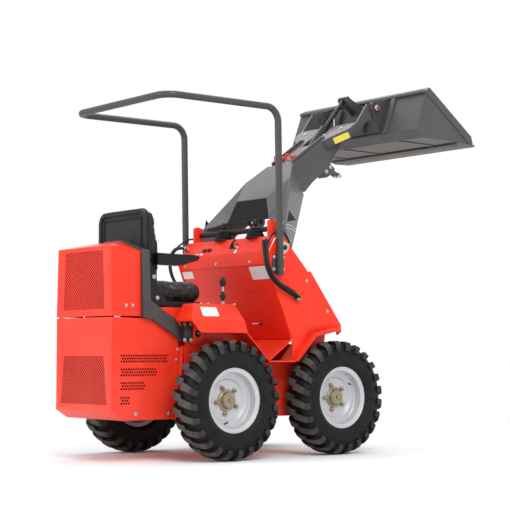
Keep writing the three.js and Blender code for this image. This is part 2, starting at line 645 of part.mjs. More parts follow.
function boomBase() {
  const neck = (side) => [side * NECK_HALF, 357, 1665];
  const fold = (side) => [side * 200, 262, 1568];
  const tip = (side) => [side * BOOM_HALF, 72, 1290];
  const cornerTop = (side) => [side * 133, 141, 1445];
  const cornerLow = (side) => [side * 186, 112, 1322];
  const top = sheet(
    [neck(-1), neck(1), fold(-1), fold(1), cornerTop(-1), cornerTop(1), tip(-1), tip(1), cornerLow(-1), cornerLow(1)],
    [[0, 3, 1], [0, 2, 3], [2, 5, 3], [2, 4, 5], [3, 5, 9], [3, 9, 7], [2, 8, 4], [2, 6, 8]],
    [0, 6, -6],
  );
  const panel = sheet(
    [cornerTop(-1), cornerTop(1), cornerLow(-1), cornerLow(1)],
    [[0, 3, 1], [0, 2, 3]],
    [0, SKIN, 0],
  ).translate(0, 3, -3);
  const cheeks = SIDES.map(([, side]) => {
    const low = [side * BOOM_HALF, 112, 1105];
    const lowNeck = [side * NECK_HALF, 446, 1486];
    const wing = sheet([low, tip(side), fold(side), neck(side), lowNeck], [[4, 0, 1], [4, 1, 2], [4, 2, 3]], [-side * PLATE, 0, 0]);
    const ear = slab([[72, 1290], [112, 1105], ...arc(BOOM_PIVOT, 52, -35, -195, 12)].reverse(), side * (BOOM_HALF - PLATE),
      side * BOOM_HALF);
    const boss = crossBar(BOOM_PIVOT, side * (BOOM_HALF - 12), side * (TOWER_IN - MOVING_GAP), 40);
    return join(wing, ear, boss);
  });
  const lugs = [-1, 1].map((side) => {
    const outline = [[150, 1440], [122, 1340], ...arc(LIFT_EYE, 34, 200, 380, 10), [215, 1400]];
    return cut(slab(outline, side * (LIFT_ROD + 6), side * (LIFT_ROD + 18)), crossBar(LIFT_EYE, -60, 60, LIFT_ROD - 4));
  });
  const neckPlate = between([[352, 1652], [363.5, 1657], [363.5, 1636], [352, 1630]], NECK_HALF - 2);
  const whole = join(top, panel, cheeks, lugs, neckPlate);
  return cut(whole, SIDES.map(([, side]) => crossBar(BOOM_PIVOT, side * (BOOM_HALF - 30), side * TOWER_HALF, BOOM_PIN + PIN_SLIP)));
}
add(front, "boom_base", boomBase(), BOOM_GREY());

function boomBeam() {
  const outer = [[364, 1659.2], [752, 1931], [762, 1830], [675, 1698], [600, 1625], [520, 1564], [465, 1507], [440, 1500],
    [364, 1606]];
  const inner = [[376, 1657.8], [800, 1954.8], [800, 1888], [669, 1705], [594, 1633], [514, 1572], [459, 1515],
    [444, 1511], [376, 1604]];
  const rise = (y) => 1659.2 + ((y - 364) * (1931 - 1659.2)) / (752 - 364);
  const headPlate = hullOf([-1, 1].flatMap((side) => [
    [side * BEAM_HALF, 590, rise(590)], [side * HEAD_HALF, 690, rise(690)], [side * HEAD_HALF, 752, rise(752)],
    [side * BEAM_HALF, 590, rise(590) - 10], [side * HEAD_HALF, 690, rise(690) - 10], [side * HEAD_HALF, 752, rise(752) - 10],
  ]));
  const ear = [[690, 1875], [745, 1922], [838, 2050], ...arc(COUPLER_PIVOT, 40, 130, -50, 12), [872, 1958], [800, 1924],
    [742, 1893], [700, 1862]];
  const ears = SIDES.map(([, side]) => slab(ear, side * (HEAD_HALF - EAR_THICK), side * HEAD_HALF));
  const slot = box([-TILT_BARREL - 8, 560, 1700], [TILT_BARREL + 8, 800, 2100]);
  const made = cut(join(between(outer, BEAM_HALF), headPlate, ears), between(inner, BEAM_HALF - PLATE), slot,
    crossBar(COUPLER_PIVOT, -HEAD_HALF - 5, HEAD_HALF + 5, TILT_PIN + PIN_SLIP));
  return made.add(crossBar(TILT_BASE, -BEAM_HALF + 2, BEAM_HALF - 2, HINGE_PIN));
}
add(front, "boom_beam", boomBeam(), BOOM_GREY());

function auxBlock() {
  const block = slab([[611, 1635], [668, 1690.4], [704, 1662], [700, 1640], [640, 1604]], 30, 104);
  return join(block, bar([55, 690, 1650], [55, 742, 1630], 11, 14), bar([85, 690, 1650], [85, 742, 1630], 11, 14));
}
add(front, "auxiliary_couplings", auxBlock(), STEEL());

// A cylinder's barrel from its base eye and its rod to its far eye.
function cylinder(base, eye, size) {
  const start = vector([0, ...base]);
  const along = vector([0, ...eye]).sub(start).normalize();
  const at = (distance) => start.clone().addScaledVector(along, distance).toArray();
  const length = vector([0, ...eye]).distanceTo(start);
  const barrel = join(bar(at(0), at(size.barrelLength), size.barrel, 24), crossBar(base, -size.barrel, size.barrel, size.barrel));
  const shell = cut(
    barrel,
    bar(at(size.boreStart), at(size.barrelLength + 1), size.rod + PIN_SLIP, 20),
    crossBar(base, -size.barrel - 1, size.barrel + 1, size.pin + PIN_SLIP),
  );
  const rod = join(bar(at(length - size.rodLength), at(length), size.rod, 20), crossBar(eye, -size.eyeHalf, size.eyeHalf, size.eye));
  return { shell, rod };
}
const lift = cylinder(LIFT_BASE, LIFT_EYE, {
  barrel: LIFT_BARREL, rod: LIFT_ROD, pin: LIFT_ROD, barrelLength: 440, boreStart: 50, rodLength: 490, eye: 28, eyeHalf: 20,
});
add(front, "lift_cylinder_barrel", lift.shell, BLACK());
add(front, "lift_cylinder_rod", lift.rod, STEEL());
const tilt = cylinder(TILT_BASE, TILT_EYE, {
  barrel: TILT_BARREL, rod: TILT_ROD, pin: HINGE_PIN, barrelLength: 330, boreStart: 40, rodLength: 400, eye: 20, eyeHalf: 18,
});
add(front, "tilt_cylinder_barrel", tilt.shell, BLACK());
add(front, "tilt_cylinder_rod", tilt.rod, STEEL());

// ---- coupler and bucket ----
const BUCKET_HEEL = [936, 1871];
const BUCKET_BACK_TOP = [1024, 2109];
const back = new THREE.Vector2(...BUCKET_BACK_TOP).sub(new THREE.Vector2(...BUCKET_HEEL)).normalize();
// A point [along the bucket's back from its heel, behind it].
const onBack = (up, behind) => [BUCKET_HEEL[0] + back.x * up - back.y * behind, BUCKET_HEEL[1] + back.y * up + back.x * behind];

function coupler() {
  const plate = [onBack(14, SLIP), onBack(222, SLIP), onBack(222, 12), onBack(14, 12)];
  const cheek = [onBack(14, SLIP), onBack(222, SLIP), onBack(228, 26), ...arc(COUPLER_PIVOT, 38, 80, 230, 12), onBack(20, 34)];
  const rib = [onBack(20, 11), onBack(216, 11), onBack(206, 34), onBack(30, 34)];
  const lug = [onBack(160, 11), onBack(212, 11), ...arc(TILT_EYE, 20, 30, 260, 10)];
  const reach = HEAD_HALF + MOVING_GAP;
  return join(
    between(plate, reach + EAR_THICK),
    SIDES.flatMap(([, side]) => [
      slab(cheek, side * reach, side * (reach + EAR_THICK)),
      slab(rib, side * 118, side * 126),
      slab(lug, side * (18 + MOVING_GAP), side * (30 + MOVING_GAP)),
      crossBar(COUPLER_PIVOT, side * (HEAD_HALF - EAR_THICK - 8), side * (reach + EAR_THICK + 14), TILT_PIN),
    ]),
  );
}
add(front, "coupler_frame", coupler(), DARK_GREY());

function bucket() {
  const floorEnd = [1432, 1827];
  const shell = strip([[1050, 2132], BUCKET_BACK_TOP, BUCKET_HEEL, [988, 1827], floorEnd], -PLATE);
  const cheek = [BUCKET_HEEL, [988, 1827], floorEnd, [1417, 1874], [1050, 2132], BUCKET_BACK_TOP];
  return join(
    between(shell, BUCKET_HALF),
    SIDES.map(([, side]) => slab(cheek, side * BUCKET_HALF, side * (BUCKET_HALF - PLATE))),
  );
}
add(front, "bucket_shell", bucket(), BOOM_GREY());
add(
  front,
  "cutting_edge",
  between([[1302, 1826.7], [1302, 1815], [1318, 1807], [1450, 1812], [1458, 1819], [1446, 1826.7]], BUCKET_HALF),
  STEEL(),
);

// The origin is on the ground under the middle of the overall box.
const overall = new THREE.Box3().setFromObject(machine);
machine.position.y = -(overall.min.y + overall.max.y) / 2;

export default machine;
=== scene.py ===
"""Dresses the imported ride-on mini skid steer loader: paint, tyres, seat, hoses, fasteners and studio."""

import math

import bpy
from mathutils import Matrix, Vector


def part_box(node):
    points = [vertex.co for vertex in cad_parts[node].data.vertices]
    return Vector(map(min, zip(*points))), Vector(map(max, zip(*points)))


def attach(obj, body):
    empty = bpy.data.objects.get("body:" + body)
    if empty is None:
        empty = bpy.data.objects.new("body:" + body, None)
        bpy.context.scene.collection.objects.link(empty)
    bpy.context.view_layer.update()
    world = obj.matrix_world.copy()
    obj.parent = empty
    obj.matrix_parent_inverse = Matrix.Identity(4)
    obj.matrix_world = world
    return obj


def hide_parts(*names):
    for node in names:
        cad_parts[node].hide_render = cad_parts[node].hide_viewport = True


bl_info = {
    "name": "Ride-on loader finish",
    "version": (1, 0, 0),
    "blender": (4, 5, 0),
    "location": "View3D > Sidebar > Loader",
    "description": "Builds the finished surfaces and small parts of a ride-on mini skid steer loader",
    "category": "Object",
}

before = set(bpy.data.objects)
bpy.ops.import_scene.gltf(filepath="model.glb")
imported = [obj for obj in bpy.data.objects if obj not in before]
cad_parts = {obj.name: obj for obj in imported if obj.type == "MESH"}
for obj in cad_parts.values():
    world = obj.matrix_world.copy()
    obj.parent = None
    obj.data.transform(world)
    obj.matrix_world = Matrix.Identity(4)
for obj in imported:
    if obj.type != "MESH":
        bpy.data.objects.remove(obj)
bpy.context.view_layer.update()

REAR_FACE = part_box("engine_box")[0][1]
SIDES = (-1, 1)
HANDS = (("left", -1), ("right", 1))
ALONG_X = Vector((1, 0, 0))
ALONG_Y = Vector((0, 1, 0))
ALONG_Z = Vector((0, 0, 1))
WELD = 0.00002  # points closer than this are one
ON_AXIS = 0.1  # the radius, in millimetres, at which a turned profile closes on its axis


def at(x, y, z):
    """A point in metres from millimetres: x from the middle, y -1000 at the rear face, z from the ground."""
    return Vector((x / 1000, REAR_FACE + (y + 1000) / 1000, z / 1000))


# ---------------------------------------------------------------- shader maths


class Field:
    """A shader value that can be used in ordinary arithmetic."""

    def __init__(self, look, socket):
        self.look = look
        self.socket = socket

    def _math(self, operation, *values):
        return self.look.node("ShaderNodeMath", {"operation": operation}, dict(enumerate(values)))

    def __add__(self, other):
        return self._math("ADD", self, other)

    def __sub__(self, other):
        return self._math("SUBTRACT", self, other)

    def __rsub__(self, other):
        return self._math("SUBTRACT", other, self)

    def __mul__(self, other):
        return self._math("MULTIPLY", self, other)

    def clamped(self):
        return self._math("MAXIMUM", self._math("MINIMUM", self, 1.0), 0.0)

    def between(self, low, high):
        """0 below low, 1 above high, smooth in between."""
        settings = {"interpolation_type": "SMOOTHSTEP"}
        values = {"Value": self, "From Min": low, "From Max": high, "To Min": 0.0, "To Max": 1.0}
        return self.look.node("ShaderNodeMapRange", settings, values, "Result")

    __radd__ = __add__
    __rmul__ = __mul__


class Look:
    """One material and the means to add nodes to it."""

    def __init__(self, name):
        self.material = bpy.data.materials.new(name)
        self.material.use_nodes = True
        self.tree = self.material.node_tree
        self.shader = self.tree.nodes["Principled BSDF"]
        self.place = self.node("ShaderNodeTexCoord", {}, {}, "Object")

    def node(self, kind, settings, values, output=0):
        made = self.tree.nodes.new(kind)
        for key, setting in settings.items():
            setattr(made, key, setting)
        for key, value in values.items():
            if isinstance(value, Field):
                self.tree.links.new(value.socket, made.inputs[key])
            elif value is not None:
                made.inputs[key].default_value = value
        return Field(self, made.outputs[output])

    def height(self, axis):
        """One of the coordinates, in metres."""
        return self.node("ShaderNodeSeparateXYZ", {}, {0: self.place}, axis)

    def noise(self, scale, detail=3.0, roughness=0.5, stretch=None):
        place = self.place
        if stretch:
            place = self.node("ShaderNodeMapping", {}, {"Vector": place, "Scale": stretch})
        values = {"Vector": place, "Scale": scale, "Detail": detail, "Roughness": roughness}
        return self.node("ShaderNodeTexNoise", {}, values, "Fac")

    def cells(self, scale, feature="F1"):
        values = {"Vector": self.place, "Scale": scale}
        return self.node("ShaderNodeTexVoronoi", {"feature": feature}, values, "Distance")

    def mix(self, amount, first, second):
        four = [(*c, 1) if isinstance(c, tuple) and len(c) == 3 else c for c in (first, second)]
        values = {0: amount, 6: four[0], 7: four[1]}
        return self.node("ShaderNodeMix", {"data_type": "RGBA"}, values, 2)

    def bump(self, height, strength, distance, after=None):
        values = {"Height": height, "Strength": strength, "Distance": distance, "Normal": after}
        return self.node("ShaderNodeBump", {}, values, "Normal")

    def set(self, **sockets):
        for name, value in sockets.items():
            socket = self.shader.inputs[name.replace("_", " ")]
            if isinstance(value, Field):
                self.tree.links.new(value.socket, socket)
            else:
                socket.default_value = (*value, 1) if isinstance(value, tuple) else value
        return self.material


def paint_look(name, colour, roughness=0.34, coat=0.12, dust=0.15, metallic=0.0, shine=0.3):
    """Sprayed machine paint: faint orange peel, dusty low down, dulled in patches."""
    look = Look(name)
    cloud = look.noise(5.0, 5.0)
    speck = look.noise(90.0, 3.0)
    low = 1 - look.height("Z").between(0.15, 0.75)
    dirt = (cloud.between(0.42, 0.72) * 0.5 + 0.5) * low * dust
    dusty = (dirt + speck.between(0.62, 0.8) * dust * 0.12).clamped()
    darker = tuple(c * 0.88 for c in colour)
    base = look.mix(cloud.between(0.35, 0.7), darker, colour)
    base = look.mix(dusty, base, (0.24, 0.19, 0.15))
    rough = roughness + look.noise(14.0, 4.0) * 0.08 + dusty * 0.4
    peel = look.bump(look.noise(420.0, 2.0), 0.08, 0.0005)
    look.set(Base_Color=base, Roughness=rough, Normal=peel, Metallic=metallic)
    return look.set(Coat_Weight=(1 - dusty) * coat, Coat_Roughness=0.12, Specular_IOR_Level=shine)


def steel_look(name, colour, roughness=0.28, oily=0.3):
    """Bare machined or plated steel with fine turning marks and a trace of grime."""
    look = Look(name)
    grime = look.noise(22.0, 5.0).between(0.5, 0.75) * oily
    base = look.mix(grime, colour, (0.10, 0.085, 0.07))
    marks = look.noise(60.0, 2.0, stretch=(1.0, 1.0, 14.0))
    rough = roughness + marks * 0.14 + grime * 0.3
    look.set(Base_Color=base, Roughness=rough, Metallic=1 - grime * 0.6)
    return look.set(Normal=look.bump(marks, 0.12, 0.0004))


def plastic_look(name, colour, roughness=0.5, grain=600.0):
    """Moulded plastic with a fine leather-like texture."""
    look = Look(name)
    rub = look.noise(9.0, 4.0)
    base = look.mix(rub.between(0.45, 0.75) * 0.6, colour, tuple(c * 1.7 + 0.006 for c in colour))
    rough = roughness + rub * 0.16
    pebble = look.cells(grain)
    look.set(Base_Color=base, Roughness=rough, Normal=look.bump(pebble, 0.2, 0.0005))
    return look.set(Specular_IOR_Level=0.3)


def vinyl_look(name, colour):
    """Upholstery vinyl: fine grain under sharp criss-cross creases."""
    look = Look(name)
    grain = look.cells(520.0, "SMOOTH_F1")
    fold = look.noise(17.0, 5.0, 0.62) - 0.5
    pucker = look.noise(38.0, 4.0, 0.6, stretch=(1.0, 1.6, 0.7)) - 0.5
    crease = (fold * fold).between(0.0, 0.006) * 0.7 + (pucker * pucker).between(0.0, 0.005) * 0.3
    worn = look.noise(6.0, 3.0).between(0.45, 0.7)
    base = look.mix(worn * 0.5, colour, tuple(c * 1.8 + 0.004 for c in colour))
    wrinkle = look.bump(crease, 0.85, 0.004)
    look.set(Base_Color=base, Roughness=0.3 + worn * 0.14 + (1 - crease) * 0.08)
    return look.set(Normal=look.bump(grain, 0.25, 0.0006, wrinkle), Specular_IOR_Level=0.42)


def rubber_look(name, colour):
    """Vulcanised rubber with a little dry dust lying in patches."""
    look = Look(name)
    dust = 0.12
    patch = look.noise(13.0, 6.0, 0.6).between(0.42, 0.68)
    fine = look.noise(160.0, 4.0)
    dusty = (patch * 0.7 + fine * 0.3) * dust
    base = look.mix(dusty.clamped(), colour, (0.11, 0.095, 0.085))
    rough = 0.62 + dusty * 0.3
    look.set(Base_Color=base, Roughness=rough, Normal=look.bump(fine, 0.3, 0.0012))
    return look.set(Specular_IOR_Level=0.3)


def tread_look(name, colour, dust_colour):
    """Tyre rubber: near black in the grooves, dry and brownish where the blocks meet the ground."""
    look = Look(name)
    contact = look.node("ShaderNodeAttribute", {"attribute_name": "contact"}, {}, "Fac")
    patch = look.noise(16.0, 6.0, 0.6).between(0.3, 0.62)
    fine = look.noise(170.0, 4.0)
    dusty = (contact * (patch * 0.55 + 0.45) + patch * 0.07).clamped()
    base = look.mix(dusty, colour, dust_colour)
    rough = 0.5 + dusty * 0.4
    look.set(Base_Color=base, Roughness=rough, Normal=look.bump(fine, 0.3, 0.0012))
    return look.set(Specular_IOR_Level=0.14)


def label_look(name, colour=(0.72, 0.72, 0.70)):
    """A blank printed plate under clear film."""
    look = Look(name)
    stain = look.noise(60.0, 4.0).between(0.5, 0.8)
    base = look.mix(stain * 0.3, colour, tuple(c * 0.75 for c in colour))
    film = look.bump(look.noise(300.0, 2.0), 0.06, 0.0003)
    return look.set(Base_Color=base, Roughness=0.3 + stain * 0.2, Normal=film)


LOOKS = {}


def look_of(kind):
    """The shared material of one finish, made when first asked for."""
    if kind not in LOOKS:
        finish = bpy.context.scene.loader_finish
        makers = {
            "red": lambda: paint_look("body_red", tuple(finish.body_red)),
            "dark": lambda: paint_look("frame_grey", tuple(finish.frame_grey), 0.4),
            "boom": lambda: paint_look("boom_grey", tuple(finish.boom_grey), 0.38),
            "beam": lambda: paint_look("beam_grey", tuple(finish.beam_grey), 0.38),
            "primer": lambda: paint_look("primer_grey", (0.15, 0.135, 0.12), 0.6, 0.0, 0.3),
            "rim": lambda: paint_look("rim_silver", tuple(finish.rim_silver), 0.34, 0.2, 0.25, 0.25, 0.5),
            "black": lambda: paint_look("black_enamel", (0.014, 0.014, 0.015), 0.32, 0.15, 0.05),
            "chrome": lambda: steel_look("hard_chrome", (0.62, 0.63, 0.65), 0.1, 0.05),
            "nitride": lambda: steel_look("nitrided_rod", (0.05, 0.05, 0.055), 0.25, 0.1),
            "zinc": lambda: steel_look("zinc_plate", (0.55, 0.54, 0.50), 0.32, 0.25),
            "brass": lambda: steel_look("yellow_passivate", (0.36, 0.31, 0.22), 0.4, 0.4),
            "plastic": lambda: plastic_look("moulded_black", (0.010, 0.010, 0.011)),
            "vinyl": lambda: vinyl_look("seat_vinyl", (0.006, 0.0055, 0.0065)),
            "armrest": lambda: plastic_look("armrest_skin", (0.0035, 0.0033, 0.0036), 0.3, 420.0),
            "tyre": lambda: tread_look("tyre_rubber", (0.007, 0.007, 0.008), (0.088, 0.080, 0.073)),
            "hose": lambda: rubber_look("hose_rubber", (0.010, 0.010, 0.011)),
            "label": lambda: label_look("blank_label"),
            "amber_label": lambda: label_look("blank_amber_label", (0.72, 0.60, 0.05)),
            # near-black paint of the engine and the hinge cases, also used as painted shade behind the
            # grilles and vents, in the hinge holes and in the footwell gap
            "dark_and_shade": lambda: paint_look("near_black_and_painted_shade", (0.008, 0.008, 0.009), 0.7, 0.0, 0.05),
            "cap": lambda: plastic_look("dust_cap_red", (0.62, 0.03, 0.02), 0.4, 300.0),
        }
        LOOKS[kind] = makers[kind]()
    return LOOKS[kind]


# ---------------------------------------------------------------- modelling steps


def deselect():
    if bpy.context.object and bpy.context.object.mode != "OBJECT":
        bpy.ops.object.mode_set(mode="OBJECT")
    bpy.ops.object.select_all(action="DESELECT")


def activate(piece):
    deselect()
    piece.select_set(True)
    bpy.context.view_layer.objects.active = piece


def settle(piece, name):
    """Names a new primitive and bakes its place into its mesh."""
    piece.name = name
    piece.data.name = name
    activate(piece)
    bpy.ops.object.transform_apply(location=True, rotation=True, scale=True)
    return piece


def edit(piece):
    activate(piece)
    bpy.ops.object.mode_set(mode="EDIT")
    bpy.ops.mesh.select_all(action="SELECT")


def done():
    bpy.ops.object.mode_set(mode="OBJECT")


def tidy(piece):
    """Merges doubles and turns the faces outwards."""
    edit(piece)
    bpy.ops.mesh.remove_doubles(threshold=WELD)
    bpy.ops.mesh.normals_make_consistent(inside=False)
    done()
    return piece


def drawn(name, points):
    """A line drawn through points, each corner extruded from the one before."""
    deselect()
    bpy.ops.mesh.primitive_plane_add(size=0.0001, location=points[0])
    piece = settle(bpy.context.object, name)
    edit(piece)
    bpy.ops.mesh.merge(type="CENTER")
    for here, there in zip(points, points[1:]):
        step = Vector(there) - Vector(here)
        bpy.ops.mesh.extrude_vertices_move(TRANSFORM_OT_translate={"value": step})
    return piece


def slab(name, points, push):
    """A flat plate: an outline filled and pushed through its thickness."""
    piece = drawn(name, points)
    bpy.ops.mesh.select_all(action="SELECT")
    bpy.ops.mesh.edge_face_add()
    bpy.ops.mesh.extrude_region_move(TRANSFORM_OT_translate={"value": push})
    done()
    return tidy(piece)


def turned(name, profile, centre, axis, steps=64, ends=True):
    """A profile of (distance along the axis, radius) in millimetres, turned all the way round.

    Its ends are closed on the axis unless ends is False, for a profile that is a closed loop.
    """
    axis = Vector(axis).normalized()
    out = axis.orthogonal().normalized()
    centre = Vector(centre)
    if ends:
        first = [(profile[0][0], ON_AXIS)]
        last = [(profile[-1][0], ON_AXIS)] if profile[-1][1] > ON_AXIS else []
        profile = first + profile + last
    corners = [centre + axis * (along / 1000) + out * (radius / 1000) for along, radius in profile]
    piece = drawn(name, corners)
    bpy.ops.mesh.select_all(action="SELECT")
    bpy.ops.mesh.spin(steps=steps, angle=2 * math.pi, center=centre, axis=axis)
    done()
    return tidy(piece)


def rod(name, start, end, radius, sides=24):
    """A round bar between two points."""
    run = Vector(end) - Vector(start)
    turn = run.to_track_quat("Z", "Y").to_euler()
    deselect()
    half_way = (Vector(start) + Vector(end)) / 2
    bpy.ops.mesh.primitive_cylinder_add(
        vertices=sides, radius=radius, depth=run.length, location=half_way, rotation=turn
    )
    return settle(bpy.context.object, name)


def block(name, low, high):
    """A box between two corners."""
    low, high = Vector(low), Vector(high)
    deselect()
    bpy.ops.mesh.primitive_cube_add(size=1, location=(low + high) / 2, scale=high - low)
    return settle(bpy.context.object, name)


def curve_mesh(name, points, radius, sides=16, resolution=0, swell=(1.0,)):
    """A mesh along points: a tube, or a bare line where the radius is 0.

    With no resolution it keeps its corners; swell repeats along a tube as shares of its radius.
    """
    curve = bpy.data.curves.new(name, "CURVE")
    curve.dimensions = "3D"
    curve.bevel_depth = radius
    curve.bevel_resolution = sides // 4
    curve.use_fill_caps = radius > 0
    line = curve.splines.new("NURBS" if resolution else "POLY")
    line.points.add(len(points) - 1)
    for step, (node, place) in enumerate(zip(line.points, points)):
        node.co = (*place, 1)
        node.radius = swell[step % len(swell)]
    if resolution:
        line.use_endpoint_u = True
        line.order_u = 4
        line.resolution_u = resolution
    made = bpy.data.objects.new(name, curve)
    bpy.context.scene.collection.objects.link(made)
    activate(made)
    bpy.ops.object.convert(target="MESH")
    return bpy.context.object


def piped(name, points, radius, sides=16, curved=True):
    """A bent tube along points."""
    return tidy(curve_mesh(name, points, radius, sides, 6 if curved else 0))


def ribbed(name, points, radius, pitch=0.0048):
    """A hose in a spiral guard: a tube whose radius rises and falls along its run."""
    path = curve_mesh(name, points, 0, resolution=24)
    trail = [vertex.co.copy() for vertex in path.data.vertices]
    bpy.data.objects.remove(path)
    marks = [trail[0]]
    for place in trail[1:]:
        while (place - marks[-1]).length >= pitch / 2:
            marks.append(marks[-1] + (place - marks[-1]).normalized() * pitch / 2)
    return smooth(tidy(curve_mesh(name, marks, radius, 12, swell=(0.86, 1.0))), 0.9)


def soften(piece, width=0.0015, segments=2, angle=0.35):
    """Rounds the sharp edges and smooths what is nearly flat."""
    activate(piece)
    bevel = piece.modifiers.new("edges", "BEVEL")
    bevel.width = width
    bevel.segments = segments
    bevel.limit_method = "ANGLE"
    bevel.angle_limit = angle
    bevel.use_clamp_overlap = True
    bpy.ops.object.modifier_apply(modifier="edges")
    bpy.ops.object.shade_smooth_by_angle(angle=0.4)
    return piece


def smooth(piece, angle=0.7):
    activate(piece)
    bpy.ops.object.shade_smooth_by_angle(angle=angle)
    return piece


def joined(name, pieces):
    """Several pieces made one."""
    deselect()
    for piece in pieces:
        piece.select_set(True)
    bpy.context.view_layer.objects.active = pieces[0]
    if len(pieces) > 1:
        bpy.ops.object.join()
    made = bpy.context.object
    made.name = name
    made.data.name = name
    return made


def copied(name, master, places):
    """Copies of one piece at several places, joined, with the master removed."""
    copies = []
    for place in places:
        copy = master.copy()
        copy.data = master.data.copy()
        copy.data.transform(place)
        bpy.context.scene.collection.objects.link(copy)
        copies.append(copy)
    bpy.data.objects.remove(master)
    return joined(name, copies)


def facing(place, direction, spin):
    """The place of something modelled at the origin along +Z, turned to a direction."""
    turn = Vector(direction).to_track_quat("Z", "Y").to_matrix().to_4x4()
    return Matrix.Translation(place) @ turn @ Matrix.Rotation(spin, 4, "Z")


def carved(piece, cutter):
    """Cuts one piece by another."""
    activate(piece)
    cut = piece.modifiers.new("cut", "BOOLEAN")
    cut.operation = "DIFFERENCE"
    cut.solver = "EXACT"
    cut.object = cutter
    bpy.ops.object.modifier_apply(modifier="cut")
    bpy.data.objects.remove(cutter)
    return piece


def twin(node, name):
    """A free copy of a CAD node."""
    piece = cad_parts[node].copy()
    piece.data = piece.data.copy()
    piece.parent = None
    piece.name = piece.data.name = name
    bpy.context.scene.collection.objects.link(piece)
    edit(piece)
    bpy.ops.mesh.remove_doubles(threshold=WELD)
    return piece


def from_node(node, name, width=0.0015, segments=2):
    """A softened copy of a CAD node that stands for it."""
    piece = twin(node, name)
    bpy.ops.mesh.dissolve_limited(angle_limit=0.01)
    done()
    if width:
        soften(piece, width, segments)
    else:
        smooth(piece, 0.3)
    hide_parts(node)
    return piece


def paint(node, kind):
    """Gives a CAD node that stays its finish."""
    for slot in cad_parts[node].material_slots:
        slot.material = look_of(kind)


def dress(piece, body, kind):
    """Gives a piece its finish and the body it rides on."""
    piece.data.materials.clear()
    piece.data.materials.append(look_of(kind))
    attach(piece, body)
    return piece


def eased(piece, body, kind, width=0.0015, segments=2):
    """Dresses a piece after rounding its edges."""
    return dress(soften(piece, width, segments), body, kind)


def stand_in(node, name, body, kind, width=0.0015, segments=2):
    """A dressed, softened copy of a CAD node that stands for it."""
    return dress(from_node(node, name, width, segments), body, kind)


def round_part(name, body, kind, profile, centre, axis, steps=32, angle=0.7):
    """A dressed, smooth, turned piece."""
    return dress(smooth(turned(name, profile, centre, axis, steps), angle), body, kind)


def upright(name, x, outline, thickness):
    """A plate that stands along the machine at x, from an outline of (y, z), thickened outwards."""
    outward = ALONG_X * math.copysign(thickness, x)
    return slab(name, [at(x, y, z) for y, z in outline], outward)


def outward_spots(x, places, sides=SIDES):
    """(place, direction) pairs that look outwards from x on each side."""
    return [(at(side * x, y, z), (side, 0, 0)) for side in sides for y, z in places]


def second_finish(piece, kind, chosen):
    """Gives the faces for which chosen(centre, normal) holds another finish."""
    piece.data.materials.append(look_of(kind))
    for face in piece.data.polygons:
        if chosen(face.center, face.normal):
            face.material_index = 1
    return piece


def hex_bolt(radius, height):
    """A hexagon-headed bolt with its washer, standing on z = 0 at the origin."""
    deselect()
    place = (0, 0, height / 2 + 0.0015)
    bpy.ops.mesh.primitive_cylinder_add(vertices=6, radius=radius, depth=height, location=place)
    head = settle(bpy.context.object, "bolt_head")
    soften(head, radius * 0.12, 1)
    deselect()
    place = (0, 0, 0.001)
    bpy.ops.mesh.primitive_cylinder_add(vertices=20, radius=radius * 1.45, depth=0.002, location=place)
    ring = settle(bpy.context.object, "bolt_washer")
    soften(ring, 0.0004, 1)
    return joined("bolt", [head, ring])


def bolts(name, body, places, radius=0.008, flat=False):
    """A set of bolts at (place, direction) pairs, each turned a little further than the one before."""
    master = hex_bolt(radius, 0.0016 if flat else radius * 0.75)
    turns = [facing(place, out, i * 0.7) for i, (place, out) in enumerate(places)]
    return dress(copied(name, master, turns), body, "zinc")


def label(name, body, centre, normal, up, width, height, kind="label"):
    """A thin blank plate with rounded corners, standing just off the surface."""
    normal, up = Vector(normal).normalized(), Vector(up).normalized()
    across = up.cross(normal).normalized()
    up = normal.cross(across).normalized()
    corner = 0.12 * min(width, height)
    ring = []
    for cx, cy, start in ((1, 1, 0), (-1, 1, 90), (-1, -1, 180), (1, -1, 270)):
        for step in range(4):
            angle = math.radians(start + step * 30)
            x = cx * (width / 2 - corner) + corner * math.cos(angle)
            y = cy * (height / 2 - corner) + corner * math.sin(angle)
            ring.append(Vector(centre) + across * x + up * y + normal * 0.0006)
    return dress(slab(name, ring, normal * 0.0008), body, kind)


def perforated(name, low, high, pitch, hole):
    """A sheet in the plane y = 0, from low to high in (x, z), with round holes in staggered rows."""
    deselect()
    place = (low[0], 0, low[1])
    bpy.ops.mesh.primitive_circle_add(vertices=8, radius=hole, location=place, rotation=(math.pi / 2, 0, 0))
    piece = settle(bpy.context.object, name)
    edit(piece)
    bpy.ops.mesh.extrude_edges_move()
    done()
    for vertex in piece.data.vertices:
        if vertex.select:
            x, z = vertex.co.x - low[0], vertex.co.z - low[1]
            reach = pitch / 2 / (abs(x) + abs(z))
            vertex.co = (low[0] + x * reach, 0, low[1] + z * reach)
    shift = Matrix.Translation((pitch / 2, 0, pitch / 2))
    second = piece.copy()
    second.data = piece.data.copy()
    second.data.transform(shift)
    bpy.context.scene.collection.objects.link(second)
    piece = joined(name, [piece, second])
    for axis, reach in ((0, high[0] - low[0]), (2, high[1] - low[1])):
        array = piece.modifiers.new("rows", "ARRAY")
        array.count = int(reach / pitch) + 2
        array.use_relative_offset = False
        array.use_constant_offset = True
        array.constant_offset_displace = [pitch if i == axis else 0 for i in range(3)]
        activate(piece)
        bpy.ops.object.modifier_apply(modifier="rows")
    edit(piece)
    bpy.ops.mesh.remove_doubles(threshold=0.0002)
    done()
    return piece


def trimmed(piece, planes):
    """Cuts away what lies beyond each (point, outward normal)."""
    for point, normal in planes:
        edit(piece)
        bpy.ops.mesh.bisect(plane_co=point, plane_no=normal, clear_outer=True)
        done()
    return piece


def thickened(piece, thickness):
    activate(piece)
    wall = piece.modifiers.new("wall", "SOLIDIFY")
    wall.thickness = thickness
    wall.offset = 1
    bpy.ops.object.modifier_apply(modifier="wall")
    return piece


# ---------------------------------------------------------------- settings


